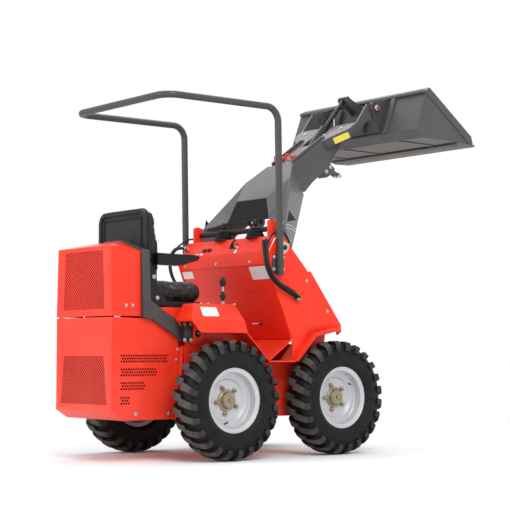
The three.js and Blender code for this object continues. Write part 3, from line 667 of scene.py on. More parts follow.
def tint(name, description, default):
    """A colour setting."""
    return bpy.props.FloatVectorProperty(
        name=name, description=description, subtype="COLOR", default=default, min=0, max=1
    )


def span(name, description, default, low, high):
    """A length setting, in metres."""
    return bpy.props.FloatProperty(
        name=name, description=description, unit="LENGTH", default=default, min=low, max=high
    )


def power(name, description, default):
    """A setting for the power of a light."""
    return bpy.props.FloatProperty(name=name, description=description, default=default, min=0, unit="POWER")


class LoaderFinish(bpy.types.PropertyGroup):
    """Colours of the machine."""

    body_red: tint("Body red", "Main paint", (0.90, 0.034, 0.010))
    frame_grey: tint("Frame grey", "Hood frame, arms and roll bar", (0.055, 0.050, 0.052))
    boom_grey: tint("Boom grey", "Foot of the lift boom", (0.125, 0.122, 0.13))
    beam_grey: tint("Beam grey", "Front beam and bucket", (0.075, 0.072, 0.077))
    rim_silver: tint("Rim silver", "Wheel rims", (0.60, 0.61, 0.63))


class LoaderTyres(bpy.types.PropertyGroup):
    """Sizes of the tyre tread and the wheel fasteners."""

    lug_pairs: bpy.props.IntProperty(
        name="Lug pairs", description="Tread blocks on each side of a tyre", default=24, min=8, max=40
    )
    lug_height: span("Lug height", "How far a block stands off the casing", 0.018, 0.005, 0.04)
    lug_width: span("Lug width", "Width of a block round the tyre", 0.040, 0.02, 0.08)
    nut_circle: span("Nut circle", "Radius on which the wheel nuts stand", 0.071, 0.05, 0.09)
    nuts: bpy.props.IntProperty(name="Wheel nuts", description="Nuts on each wheel", default=5, min=3, max=8)


class LoaderStudio(bpy.types.PropertyGroup):
    """Camera and light."""

    lens: bpy.props.FloatProperty(
        name="Lens", description="Focal length in millimetres", default=97.68, min=20, max=300
    )
    key: power("Key light", "Power of the large front light", 210.0)
    fill: power("Fill light", "Power of the rear light", 120.0)
    sky: bpy.props.FloatProperty(
        name="Sky", description="Strength of the even light all round", default=0.75, min=0, max=2
    )


# ---------------------------------------------------------------- wheels

# the place of each wheel, the side its outer face looks to and its turn about the axle
WHEELS = (
    ("front_left", -1, 0.9), ("front_right", 1, 0.35), ("rear_left", -1, 0.2), ("rear_right", 1, -2.06)
)


def middle(node):
    low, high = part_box(node)
    return (Vector(low) + Vector(high)) / 2


def marked(piece, values):
    """Records on the mesh how far each point touches the ground, from 0 to 1."""
    contact = piece.data.attributes.new("contact", "FLOAT", "POINT")
    for mark, value in zip(contact.data, values):
        mark.value = value
    return piece


def tread_block(settings, radius):
    """One tread block at the top of the tyre, from the crown over the shoulder, with the axle along X."""
    outer = [
        (-0.008, 0.0), (0.020, 0.0), (0.046, -0.0015), (0.0665, -0.008),
        (0.0770, -0.020), (0.0820, -0.034), (0.0822, -0.046), (0.0800, -0.055),
    ]
    inner = [-0.008, 0.020, 0.042, 0.057, 0.063, 0.068, 0.070, 0.070]
    deselect()
    bpy.ops.mesh.primitive_cube_add(size=1, location=(0.5, 0, 0.5))
    piece = settle(bpy.context.object, "tread_block")
    edit(piece)
    bpy.ops.mesh.subdivide(number_cuts=6)
    done()
    count = len(outer) - 1
    marks = []
    for vertex in piece.data.vertices:
        u, v, w = vertex.co.x, vertex.co.y * 2, vertex.co.z
        spot = min(int(u * count), count - 1)
        t = u * count - spot
        top = [outer[spot][k] * (1 - t) + outer[spot + 1][k] * t for k in (0, 1)]
        foot = inner[spot] * (1 - t) + inner[spot + 1] * t
        out = foot * (1 - w) + top[0] * w
        drop = settings.lug_height * max(0.0, 1 - max(u - 0.45, 0) * 1.7)
        r = radius + top[1] - drop * (1 - w)
        half = settings.lug_width / 2 * (1.0 + 0.16 * (1 - w) - 0.14 * u)
        lean = 0.036 * min(u * 1.5, 1.0) - 0.014
        angle = (v * half + lean) / radius
        vertex.co = (out, -r * math.sin(angle), r * math.cos(angle))
        marks.append((1.0 if abs(out) < 0.075 else 0.45) if w > 0.99 else 0.0)
    edit(piece)
    bpy.ops.mesh.normals_make_consistent(inside=False)
    done()
    return smooth(marked(piece, marks), 0.5)


def tyre_master(settings):
    """A tyre at the origin with its axis along X."""
    low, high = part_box("tyre_rear_right")
    radius = (high[2] - low[2]) / 2
    crown = (radius - settings.lug_height) * 1000
    wall = [
        (0, 0), (22, 0.5), (44, 3), (57, 9), (65.5, 20), (70.5, 36), (73.5, 52), (76, 64), (77.2, 78),
        (77.5, 90), (76.5, 100), (77.8, 102.5), (77.2, 106), (74, 108.5), (70, 116), (65.5, 122),
        (63.5, 126.2), (60, 127.2),
    ]
    half = [(out, crown - drop) for out, drop in wall] + [(57.5, 172), (54.5, 154)]
    ring = [(-out, r) for out, r in reversed(half)] + half[1:] + [(-half[-1][0], half[-1][1])]
    casing = smooth(turned("tyre_casing", ring, (0, 0, 0), ALONG_X, 96, ends=False), 0.9)
    marked(casing, [0.0] * len(casing.data.vertices))
    block_piece = tread_block(settings, radius - 0.0005)
    pitch = 2 * math.pi / settings.lug_pairs
    flip = Matrix.Rotation(math.pi, 4, "Z")
    turns = [Matrix.Rotation(i * pitch, 4, "X") for i in range(settings.lug_pairs)]
    places = turns + [Matrix.Rotation(pitch / 2, 4, "X") @ turn @ flip for turn in turns]
    return joined("tyre", [casing, copied("tread", block_piece, places)])


def rim_master():
    """A dished steel rim at the origin, outer side towards +X."""
    profile = [
        (59, 170.8), (62.2, 171.2), (64.2, 169.5), (64, 166.8), (60, 163.5), (57.2, 156), (53.5, 149),
        (48, 146.8), (24, 145.2), (15, 144), (10.5, 140), (9, 134), (9.5, 124), (8.8, 118.5), (6, 114.5),
        (-1, 110), (-6, 105.5), (-8, 99), (-8, 53), (-12, 52), (-12, 100), (-9.5, 108), (-4, 114),
        (3, 119), (4, 136), (6, 145.5),
        (-48, 146.8), (-55, 150), (-60, 163.5), (-64, 166.8), (-64.2, 169.5), (-60, 171.2), (-57.5, 169),
        (-54.5, 153), (54.5, 153), (57.5, 169), (59, 170.8),
    ]
    return smooth(turned("rim", profile, (0, 0, 0), ALONG_X, 96, ends=False), 0.5)


def hub_master(settings):
    """The hub end with its wheel nuts and studs, outer side towards +X."""
    profile = [
        (-7.8, 31.2), (-7.8, 58), (-3.5, 58), (-2, 56.5), (-1.5, 48), (1, 45), (19, 42.5), (22.5, 40),
        (23.5, 33), (26.5, 31.5), (27.5, 18), (25.5, 16.5), (25, 10), (33, 9.5), (34, 8), (34, ON_AXIS),
        (14, ON_AXIS), (14, 31.2), (-7.8, 31.2),
    ]
    cap = smooth(turned("hub", profile, (0, 0, 0), ALONG_X, 48, ends=False), 0.5)
    profile = [(-7.8, 12.5), (-6.2, 12.5), (-6.2, 11), (4, 11), (6.5, 8.5), (6.5, 6.2), (13, 6.2), (14, 5.2)]
    nut = smooth(turned("nut", profile, (0, 0, 0), ALONG_X, 12), 0.4)
    lift = Matrix.Translation((0, 0, settings.nut_circle))
    turns = [Matrix.Rotation(2 * math.pi * i / settings.nuts, 4, "X") @ lift for i in range(settings.nuts)]
    return joined("hub", [cap, copied("nuts", nut, turns)])


class LOADER_OT_wheels(bpy.types.Operator):
    """Builds the tyres with their tread, the dished rims, hubs, wheel nuts and valves"""

    bl_idname = "loader.wheels"
    bl_label = "Wheels"

    def execute(self, context):
        settings = context.scene.loader_tyres
        masters = {"tyre": tyre_master(settings), "rim": rim_master(), "hub": hub_master(settings)}
        stem = rod("valve", (0.006, 0.1205, 0.0357), (0.034, 0.1115, 0.033), 0.0042, 12)
        masters["valve"] = soften(stem, 0.001, 1)
        kinds = {"tyre": "tyre", "rim": "rim", "hub": "brass", "valve": "plastic"}
        for place, side, turn in WHEELS:
            face = Matrix.Identity(4) if side > 0 else Matrix.Rotation(math.pi, 4, "Z")
            move = Matrix.Translation(middle("rim_" + place)) @ face @ Matrix.Rotation(turn, 4, "X")
            for part, master in masters.items():
                piece = master.copy()
                piece.data = master.data.copy()
                piece.data.transform(move)
                piece.name = f"{part}_{place}_finished"
                bpy.context.scene.collection.objects.link(piece)
                dress(piece, f"wheel_{place}", kinds[part])
                if part in ("tyre", "rim"):
                    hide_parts(f"{part}_{place}")
        for master in masters.values():
            bpy.data.objects.remove(master)
        return {"FINISHED"}


# ---------------------------------------------------------------- engine box and hood


def vent_cutters():
    """Rows of round holes through both sides of the engine box."""
    rows = [(556, -640), (486, -714), (416, -782), (342, -882)]
    deselect()
    bpy.ops.mesh.primitive_cylinder_add(vertices=10, radius=0.0062, depth=0.7, rotation=(0, math.pi / 2, 0))
    master = settle(bpy.context.object, "vent_hole")
    pitch = 15
    places = []
    for top, end in rows:
        for row in range(3):
            y = -938 + (pitch / 2 if row == 1 else 0)
            while y < end - 6:
                places.append(Matrix.Translation(at(0, y, top - 7 - row * pitch)))
                y += pitch
    return copied("vent_holes", master, places)


def grille(name, node, body, lean):
    """A perforated panel that fills one opening, with sides that lean in by lean metres over its height."""
    low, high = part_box(node)
    margin = 0.01
    start, end = (low[0] - margin, low[2] - margin), (high[0] + margin, high[2] + margin)
    sheet = perforated(name, start, end, pitch=0.0176, hole=0.0053)
    sheet.data.transform(Matrix.Translation((0, low[1] + 0.0005, 0)))
    rise = high[2] - low[2]
    planes = [(Vector((0, 0, low[2])), -ALONG_Z), (Vector((0, 0, high[2])), ALONG_Z)]
    for side in SIDES:
        planes.append((Vector((side * high[0], 0, low[2])), Vector((side * rise, 0, lean)).normalized()))
    trimmed(sheet, planes)
    thickened(sheet, 0.0014)
    edit(sheet)
    bpy.ops.mesh.normals_make_consistent(inside=False)
    done()
    dress(sheet, body, "red")
    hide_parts(node)


class LOADER_OT_engine_box(bpy.types.Operator):
    """Builds the lower engine box with its side vents, rear grille and fasteners"""

    bl_idname = "loader.engine_box"
    bl_label = "Engine box"

    def execute(self, context):
        shell = from_node("engine_box", "engine_box_finished", 0.002, 2)
        dress(smooth(carved(shell, vent_cutters()), 0.5), "chassis", "red")
        grille("lower_grille_mesh", "rear_grille_lower", "chassis", 0.031)
        # a near-black plate just behind the lower grille: painted shade of the inside of the box
        dress(block("lower_grille_shade", at(-240, -985, 290), at(240, -975, 560)), "chassis", "dark_and_shade")
        # near-black plates just inside the side walls: painted shade behind the vent holes
        for name, side in HANDS:
            screen = block(f"vent_shade_{name}", at(side * 251, -960, 285), at(side * 254, -650, 575))
            dress(screen, "chassis", "dark_and_shade")
        spots = [(-850, 251), (-639, 248), (-581, 581), (-591, 526)]
        bolts("engine_box_bolts", "chassis", outward_spots(262, spots), 0.0075)
        return {"FINISHED"}


def housing(name, side):
    """The bolted bearing housing of one hood arm, with the rounded lug that holds the arm's pin."""
    case = block(f"hinge_case_{name}", at(side * 308.8, -598, 622), at(side * 326, -532, 722))
    eased(case, "chassis", "dark_and_shade", 0.002)
    face = block(f"hinge_face_{name}", at(side * 326.2, -588, 642), at(side * 328.5, -541, 704))
    eased(face, "chassis", "dark", 0.001)
    spots = outward_spots(326.2, [(y, z) for y in (-584, -546) for z in (714, 630)], [side])
    bolts(f"hinge_bolts_{name}", "chassis", spots, 0.0078, flat=True)
    rim = [(-530, 716)]
    for step in range(13):
        angle = math.radians(90 - step * 15)
        rim.append((-493 + 54 * math.cos(angle), 664 + 52 * math.sin(angle)))
    rim.append((-530, 612))
    lug = upright(f"hinge_lug_{name}", side * 308.6, rim, 0.012)
    hole = rod(f"hinge_hole_{name}", at(side * 300, -493, 664), at(side * 330, -493, 664), 0.0185, 32)
    eased(carved(lug, hole), "chassis", "red", 0.0012)
    # a near-black disc at the back of the lug's hole: painted shade inside the hole
    near, far = at(side * 308.5, -493, 664), at(side * 310.5, -493, 664)
    dress(rod(f"hinge_hole_shade_{name}", near, far, 0.0184, 32), "chassis", "dark_and_shade")
    pin = rod(f"hood_pin_{name}", at(side * 310.6, -491, 666), at(side * 321, -489, 668), 0.0075, 20)
    eased(pin, "chassis", "zinc", 0.001)


class LOADER_OT_hood(bpy.types.Operator):
    """Builds the hood with its grille, latches, frame and hinge pins"""

    bl_idname = "loader.hood"
    bl_label = "Hood"

    def execute(self, context):
        body = "hood_and_seat"
        stand_in("hood", "hood_finished", body, "red", 0.002, 2)
        grille("upper_grille_mesh", "rear_grille_upper", body, 0.016)
        # a near-black plate just behind the upper grille: painted shade of the inside of the hood
        dress(block("upper_grille_shade", at(-215, -985, 775), at(215, -975, 1100)), body, "dark_and_shade")
        stand_in("hood_frame", "hood_frame_finished", body, "dark", 0.002, 2)
        bolts("hood_bolts", body, outward_spots(261.5, [(-912, 807), (-872, 807)]), 0.0062)
        eased(block("latch_rear", at(2, -1003.2, 744), at(16, -1000.2, 754)), body, "zinc", 0.0012)
        for name, side in HANDS:
            catch = block(f"latch_{name}", at(side * 262.2, -986, 744.5), at(side * 264.6, -948, 751))
            eased(catch, body, "zinc", 0.0009)
        for name, side in HANDS:
            housing(name, side)
        return {"FINISHED"}


# ---------------------------------------------------------------- hull, fenders and tower


class LOADER_OT_hull(bpy.types.Operator):
    """Finishes the hull, floor, fenders and axles"""

    bl_idname = "loader.hull"
    bl_label = "Hull and fenders"

    def execute(self, context):
        stand_in("chassis_frame", "chassis_finished", "chassis", "red", 0, 0)
        stand_in("floor_plate", "floor_finished", "chassis", "red", 0.0012, 1)
        stand_in("footrest_panel", "footrest_finished", "chassis", "red", 0.0012, 1)
        for name, side in HANDS:
            fender = from_node(f"rear_fender_{name}", f"rear_fender_{name}_finished", 0.0016, 2)
            notch = block(f"fender_notch_{name}", at(side * 308.4, -660, 590), at(side * 432, -525, 726))
            dress(smooth(carved(fender, notch), 0.4), "chassis", "red")
            stand_in(f"front_fender_{name}", f"front_fender_{name}_finished", "chassis", "red", 0.0016, 2)
            tops = [(at(side * 374, y, 820), ALONG_Z) for y in (-516, -467, -291)]
            bolts(f"rear_fender_bolts_{name}", "chassis", tops, 0.0065)
        # a near-black strip where the footwell meets the console: painted shade of the gap there
        eased(block("console_gap_shade", at(-385, 100.5, 622), at(385, 103.5, 652)), "chassis", "dark_and_shade", 0.0006, 1)
        paint("front_axle", "black")
        paint("rear_axle", "black")
        paint("engine_block", "dark_and_shade")
        for name, side in HANDS:
            grip = block(f"pedal_grip_{name}", at(side * 172, 4, 722), at(side * 216, 24, 728))
            eased(grip, "chassis", "label", 0.002)
            stop = block(f"pedal_stop_{name}", at(side * 222, 6, 716), at(side * 240, 26, 728))
            eased(stop, "chassis", "plastic", 0.002)
        normal = Vector((85, 0, 50)).normalized()
        label("fender_label", "chassis", at(415, -490, 777.5), normal, Vector((-50, 0, 85)), 0.107, 0.056)
        return {"FINISHED"}


class LOADER_OT_tower(bpy.types.Operator):
    """Finishes the tower plates, console, boom pins and grab bar, with their bolts and labels"""

    bl_idname = "loader.tower"
    bl_label = "Tower"

    def execute(self, context):
        keeper = [(8, 1140), (30, 1176), (78, 1160), (66, 1124), (30, 1098)]
        spots = [(207, 962), (362, 795), (447, 701), (-30, 1060)]
        head = [(0, 14), (6, 14), (8, 12)]
        for name, side in HANDS:
            stand_in(f"tower_side_{name}", f"tower_side_{name}_finished", "chassis", "red", 0.0016, 2)
            eased(upright(f"pin_keeper_{name}", side * 400.4, keeper, 0.005), "chassis", "zinc", 0.001)
            bolts(f"tower_bolts_{name}", "chassis", outward_spots(400, spots, [side]), 0.0065)
            place = at(side * 405.4, 40, 1140)
            round_part(f"boom_pin_{name}", "chassis", "nitride", head, place, (side, 0, 0))
        stand_in("control_console", "console_finished", "chassis", "red", 0.0016, 2)
        lower = Vector((0, -0.914, -0.407))
        corners = ((-388, 1041), (388, 1041), (388, 904), (-388, 904))
        cover = [at(x, -70 + (1045 - z) * 65 / 146, z) for x, z in corners]
        eased(slab("console_cover", cover, lower * 0.0022), "chassis", "red", 0.0008, 1)
        lip = [at(x, -70.2, z) for x, z in ((-389, 1046), (389, 1046), (389, 1052), (-389, 1052))]
        eased(slab("console_lip", lip, Vector((0, -0.005, 0))), "chassis", "red", 0.001)
        bolts("console_bolts", "chassis", [(at(x, -70, 1064), -ALONG_Y) for x in (-350, -60, 235)], 0.0065)
        label("console_label_left", "chassis", at(-337, -58.9, 1014), lower, ALONG_Z, 0.098, 0.044)
        label("console_label_right", "chassis", at(300, -53.5, 1002), lower, ALONG_Z, 0.145, 0.076)
        tube = [(-329.5, 13.5), (-327, 15), (327, 15), (329.5, 13.5)]
        bar = round_part("grab_bar_finished", "chassis", "hose", tube, middle("grab_bar"), ALONG_X)
        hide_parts("grab_bar")
        return {"FINISHED"}


def foot_of(node):
    """The middle of the underside of a CAD node."""
    foot = middle(node)
    foot.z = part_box(node)[0][2]
    return foot


def on_slope(x, z):
    """A point on the sloping switch panel of the console."""
    return at(x, -70 + (z - 1118) * 48 / 86, z)


SLOPE = Vector((0, -0.873, 0.487))  # out of the switch panel
SLOPE_RISE = Vector((0, 0.487, 0.873))  # up along the switch panel


class LOADER_OT_controls(bpy.types.Operator):
    """Builds the joysticks with their bellows, the small levers, key and switches"""

    bl_idname = "loader.controls"
    bl_label = "Controls"

    def execute(self, context):
        bellows = [(-2, 57), (3, 57), (5, 54)]
        for fold in range(6):
            along, r = fold * 8.5, 53 - fold * 4.2
            bellows += [(6 + along, r - 5), (9.5 + along, r + 1), (12.5 + along, r - 3)]
        knob = [(58, 22), (61, 8), (64, 6), (68, 11.5), (75, 14), (84, 15.5), (93, 14), (100, 9), (102.8, 4)]
        profile = bellows + knob + [(103, ON_AXIS)]
        for side in ("left", "right"):
            name, foot = f"joystick_{side}_finished", foot_of(f"joystick_{side}")
            stick = round_part(name, "chassis", "plastic", profile, foot, ALONG_Z, 40, 0.6)
            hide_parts(f"joystick_{side}")
        foot = foot_of("throttle_lever")
        nut = [(0, 18), (3, 18), (4, 12), (12, 11), (14, 7), (20, 6)]
        round_part("lever_nut", "chassis", "brass", nut, foot, ALONG_Z, 24, 0.5)
        round_part("lever_stem", "chassis", "zinc", [(66, 4.8), (100, 4.8)], foot, ALONG_Z, 20, 0.5)
        collar = [
            (18, 7.5), (30, 8), (34, 15.5), (38, 17), (43, 15), (46, 17), (51, 15), (54, 8), (68, 7.5),
            (69, ON_AXIS),
        ]
        grip = [
            (94, 9), (98, 11), (104, 17), (109, 17.5), (112, 14.5), (117, 15), (121, 18.5), (127, 18),
            (131, 12), (137, 11.5), (143, 8), (146, 4),
        ]
        parts = (("lever_collar", collar), ("lever_grip", grip))
        handle = [smooth(turned(name, line, foot, ALONG_Z, 32), 0.5) for name, line in parts]
        lever = joined("throttle_lever_finished", handle)
        dress(lever, "chassis", "plastic")
        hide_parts("throttle_lever")
        button = [(0, 12), (4, 12), (6, 8), (18, 7), (20, 9), (28, 9), (30, 6)]
        for name, x, y in (("left", -10, 20), ("middle", 112, 24), ("right", 140, 20)):
            place = at(x, y, 1204)
            round_part(f"console_knob_{name}", "chassis", "plastic", button, place, ALONG_Z, 20, 0.5)
        gate = [on_slope(36, 1148), on_slope(92, 1148), on_slope(92, 1176), on_slope(36, 1176)]
        eased(slab("lever_gate", gate, SLOPE * 0.004), "chassis", "plastic", 0.001)
        start = on_slope(60, 1158) + SLOPE * 0.002
        bend = start + SLOPE * 0.020
        line = [start, bend]
        for up, across in ((0.016, 0.012), (0.030, 0.030)):
            line.append(bend + SLOPE_RISE * up + ALONG_X * across)
        dress(smooth(piped("console_lever", line, 0.005, 12)), "chassis", "plastic")
        key_place = on_slope(110, 1150)
        switch = [(0, 10), (3, 10), (4, 7), (6, 6)]
        round_part("key_switch", "chassis", "zinc", switch, key_place, SLOPE, 24, 0.5)
        outline = ((5, -3), (12, -3), (14, -9), (26, -9), (26, 9), (14, 9), (12, 3), (5, 3))
        blade = [key_place + SLOPE * (out / 1000) + SLOPE_RISE * (up / 1000) for out, up in outline]
        eased(slab("ignition_key", blade, ALONG_X * 0.002), "chassis", "zinc", 0.0005, 1)
        for name, x in (("left", -205), ("middle", -160)):
            cap = [on_slope(x, 1140), on_slope(x + 30, 1140), on_slope(x + 30, 1158), on_slope(x, 1158)]
            eased(slab(f"rocker_switch_{name}", cap, SLOPE * 0.006), "chassis", "plastic", 0.0015)
        for name, x in (("left", -262), ("right", -222)):
            label(f"switch_label_{name}", "chassis", on_slope(x + 16, 1128), SLOPE, SLOPE_RISE, 0.028, 0.011)
        label("lever_label", "chassis", on_slope(104, 1129), SLOPE, SLOPE_RISE, 0.018, 0.024)
        return {"FINISHED"}


# ---------------------------------------------------------------- seat


def applied(piece, kind, **settings):
    """Adds a modifier with its settings and applies it."""
    activate(piece)
    change = piece.modifiers.new("change", kind)
    for key, value in settings.items():
        setattr(change, key, value)
    bpy.ops.object.modifier_apply(modifier=change.name)


def stuffed(piece, cap):
    """Swells a pad by the pressure inside it; no point moves further than cap."""
    rest = [vertex.co.copy() for vertex in piece.data.vertices]
    cloth = piece.modifiers.new("stuffing", "CLOTH")
    cloth.settings.quality = 5
    cloth.settings.use_pressure = True
    cloth.settings.uniform_pressure_force = 4
    cloth.settings.effector_weights.gravity = 0
    cloth.settings.tension_stiffness = 15
    cloth.settings.compression_stiffness = 15
    cloth.settings.bending_stiffness = 0.5
    scene = bpy.context.scene
    for step in range(1, 21):
        scene.frame_set(step)
    activate(piece)
    bpy.ops.object.modifier_apply(modifier="stuffing")
    scene.frame_set(1)
    for vertex, start in zip(piece.data.vertices, rest):
        move = vertex.co - start
        if move.length > cap:
            vertex.co = start + move * (cap / move.length)


def cushion_from(name, node, cap, shrink, axis, radius):
    """A stuffed pad that swells from a slightly smaller copy of its CAD solid.

    Its two corners at the far end along axis are rounded to radius.
    """
    low, high = (Vector(corner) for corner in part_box(node))
    centre = (low + high) / 2
    piece = twin(node, name)
    done()
    for vertex in piece.data.vertices:
        for k in range(3):
            room = (high[k] - low[k]) / 2
            vertex.co[k] = centre[k] + (vertex.co[k] - centre[k]) * (1 - shrink / room)
    applied(piece, "REMESH", mode="VOXEL", voxel_size=0.006)
    stuffed(piece, cap)
    for vertex in piece.data.vertices:
        over = min(max(vertex.co[axis] - (high[axis] - radius), 0), radius)
        give = radius - math.sqrt(radius * radius - over * over)
        vertex.co.x *= 1 - give / high.x
    for vertex in piece.data.vertices:
        for k in range(3):
            vertex.co[k] = min(max(vertex.co[k], low[k]), high[k])
    applied(piece, "SMOOTH", iterations=4, factor=0.5)
    applied(piece, "SUBSURF", levels=1, render_levels=1)
    bpy.ops.object.shade_smooth()
    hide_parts(node)
    return piece


class LOADER_OT_seat(bpy.types.Operator):
    """Builds the seat: cushions, moulded back shell, tray, platform and folding armrests"""

    bl_idname = "loader.seat"
    bl_label = "Seat"

    def execute(self, context):
        body = "hood_and_seat"
        cushion = cushion_from("seat_cushion_finished", "seat_cushion", 0.022, 0.008, 1, 0.06)
        dress(cushion, body, "vinyl")
        pad = cushion_from("seat_backrest_finished", "seat_backrest", 0.018, 0.007, 2, 0.075)
        dress(pad, body, "vinyl")
        low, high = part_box("seat_back_shell")

        def outline(inset, y, radius):
            wide, base, top = high[0] - inset, low[2] + inset * 0.5, high[2] - inset
            ring = [Vector((wide, y, base)), Vector((-wide, y, base))]
            for side, start in ((-1, 180), (1, 90)):
                for step in range(9):
                    angle = math.radians(start - step * 11.25)
                    x = side * (wide - radius) + radius * math.cos(angle)
                    ring.append(Vector((x, y, top - radius + radius * math.sin(angle))))
            return ring

        shell = slab("seat_back_shell_finished", outline(0, low[1], 0.062), ALONG_Y * (high[1] - low[1]))
        edit(shell)
        bpy.ops.mesh.select_mode(type="FACE")
        bpy.ops.mesh.select_all(action="DESELECT")
        done()
        min(shell.data.polygons, key=lambda face: face.normal.y).select = True
        bpy.ops.object.mode_set(mode="EDIT")
        for inset, push in ((0.024, 0.010), (0.014, -0.008), (0.008, 0.008), (0.010, -0.004)):
            bpy.ops.mesh.inset(thickness=inset, depth=0)
            bpy.ops.mesh.extrude_region_move(TRANSFORM_OT_translate={"value": (0, push, 0)})
        bpy.ops.mesh.select_mode(type="VERT")
        done()
        eased(shell, body, "plastic", 0.002, 2)
        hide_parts("seat_back_shell")
        seam = outline(-0.001, high[1] + 0.004, 0.063)
        piping = piped("backrest_piping", [*seam[1:], seam[0]], 0.0042, 12, curved=False)
        dress(smooth(piping, 1.2), body, "vinyl")
        stand_in("seat_tray", "seat_tray_finished", body, "plastic", 0.002, 2)
        stand_in("seat_platform", "seat_platform_finished", body, "red", 0.0015, 1)
        for name in ("left", "right"):
            stand_in(f"armrest_{name}", f"armrest_{name}_finished", f"{name}_armrest", "armrest", 0.009, 4)
        bolts("seat_bolts", body, outward_spots(240, [(-700, 850), (-722, 960)]), 0.008)
        return {"FINISHED"}


# ---------------------------------------------------------------- roll bar and hoses


def rounded_corner(corner, before, after, radius=0.08, steps=8):
    """The points of an arc that rounds one corner of a line."""
    back, on = (before - corner).normalized(), (after - corner).normalized()
    half = back.angle(on) / 2
    reach = radius / math.tan(half)
    centre = corner + (back + on).normalized() * radius / math.sin(half)
    start, end = corner + back * reach - centre, corner + on * reach - centre
    sweep = start.angle(end)
    arc = []
    for i in range(steps + 1):
        share = i / steps
        spoke = start * math.sin((1 - share) * sweep) + end * math.sin(share * sweep)
        arc.append(centre + spoke / math.sin(sweep))
    return arc


class LOADER_OT_roll_bar(bpy.types.Operator):
    """Builds the bent tube roll bar with its clamps"""

    bl_idname = "loader.roll_bar"
    bl_label = "Roll bar"

    def execute(self, context):
        left = [(-425, -8, 985), (-425, -26, 1906), (-425, -783, 1896)]
        corners = [at(x, y, z) for x, y, z in left + [(-x, y, z) for x, y, z in reversed(left)]]
        route = [corners[0]]
        for before, corner, after in zip(corners, corners[1:], corners[2:]):
            route += rounded_corner(corner, before, after)
        route.append(corners[-1])
        hoop = smooth(piped("roll_bar_finished", route, 0.019, 24, curved=False), 0.6)
        dress(hoop, "chassis", "dark")
        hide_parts("roll_bar")
        outline = [(-52, 1000), (34, 1000), (34, 1100), (-44, 1100)]
        spots = [(-40, 1018), (24, 1018), (-36, 1084), (24, 1084)]
        for name, side in HANDS:
            plate = upright(f"roll_bar_plate_{name}", side * 400.3, outline, 0.0077)
            eased(plate, "chassis", "dark", 0.0015)
            bolts(f"roll_bar_bolts_{name}", "chassis", outward_spots(408, spots, [side]), 0.0085)
        return {"FINISHED"}


class LOADER_OT_hoses(bpy.types.Operator):
    """Builds the hydraulic hoses beside the tower with their crimped fittings"""

    bl_idname = "loader.hoses"
    bl_label = "Hoses"

    def execute(self, context):
        route = [
            (362, -46, 1162.3), (362, -66.8, 1174), (400, -105, 1184), (436, -122, 1120), (438, -118, 1040),
            (438, -80, 965), (436, 0, 915), (434, 80, 885), (424, 132, 862), (400.5, 132, 862),
        ]
        over = [
            (386, 130, 1010), (386, 112, 1100), (386, 92, 1180), (387, 60, 1222), (396, 15, 1238),
            (397, -30, 1222), (412, -68, 1195), (430, -108, 1150), (443, -124, 1090), (446, -112, 1020),
            (444, -66, 958), (442, 10, 925), (438, 84, 900), (424, 126, 872),
        ]
        crimp = [(0, 9.8), (8, 9.8), (9, 8.5), (12, 8.5), (12.5, 9.2), (30, 9), (31, 7.8)]
        socket = [(0, 10.5), (10, 10.5), (11, 8), (22, 8)]
        elbow = [(-4, 8.5), (10, 8.5), (11, 10), (22, 10), (23, 8), (30, 7.8)]
        for name, side in HANDS:
            points = [at(side * x, y, z) for x, y, z in route]
            strands = []
            for tag, sign in (("a", 1), ("b", -1)):
                shift = Vector((side * 0.0084, 0.0028, 0.002)) * sign
                strands.append(ribbed(f"strand_{tag}", [place + shift for place in points], 0.0084))
            strands.append(ribbed("strand_c", [at(side * x, y, z) for x, y, z in over], 0.0056))
            hose = joined(f"hose_{name}_finished", strands)
            dress(hose, "chassis", "hose")
            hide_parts(f"hose_{name}")
            upper = []
            for step in (-1.3, 1.3):
                place = at(side * 362, -46.5, 1162.6) + Vector((side * 0.0066 * step, 0, 0))
                upper.append(turned("fitting", crimp, place, SLOPE, 12))
            dress(smooth(joined(f"hose_fittings_upper_{name}", upper), 0.4), "chassis", "zinc")
            lower = []
            for y, z, turn in ((126, 868, (side * 0.4, -0.5, 0.77)), (140, 855, (side * 0.5, -0.86, 0.1))):
                lower.append(turned("stub", socket, at(side * 400.4, y, z), (side, 0, 0), 12))
                lower.append(turned("elbow", elbow, at(side * 417, y, z), turn, 12))
            dress(smooth(joined(f"hose_fittings_lower_{name}", lower), 0.4), "chassis", "brass")
        return {"FINISHED"}


# ---------------------------------------------------------------- boom, cylinders and bucket

RAIL_RISE = Vector((0, 388, 271.8)).normalized()  # up along the top of the boom
RAIL_UP = Vector((0, -RAIL_RISE.z, RAIL_RISE.y))  # out of the top of the boom


def on_boom(x, along, off):
    """A point on the top of the boom, from metres across, along and off it."""
    return at(0, 364, 1659.2) + RAIL_RISE * along + RAIL_UP * off + ALONG_X * x


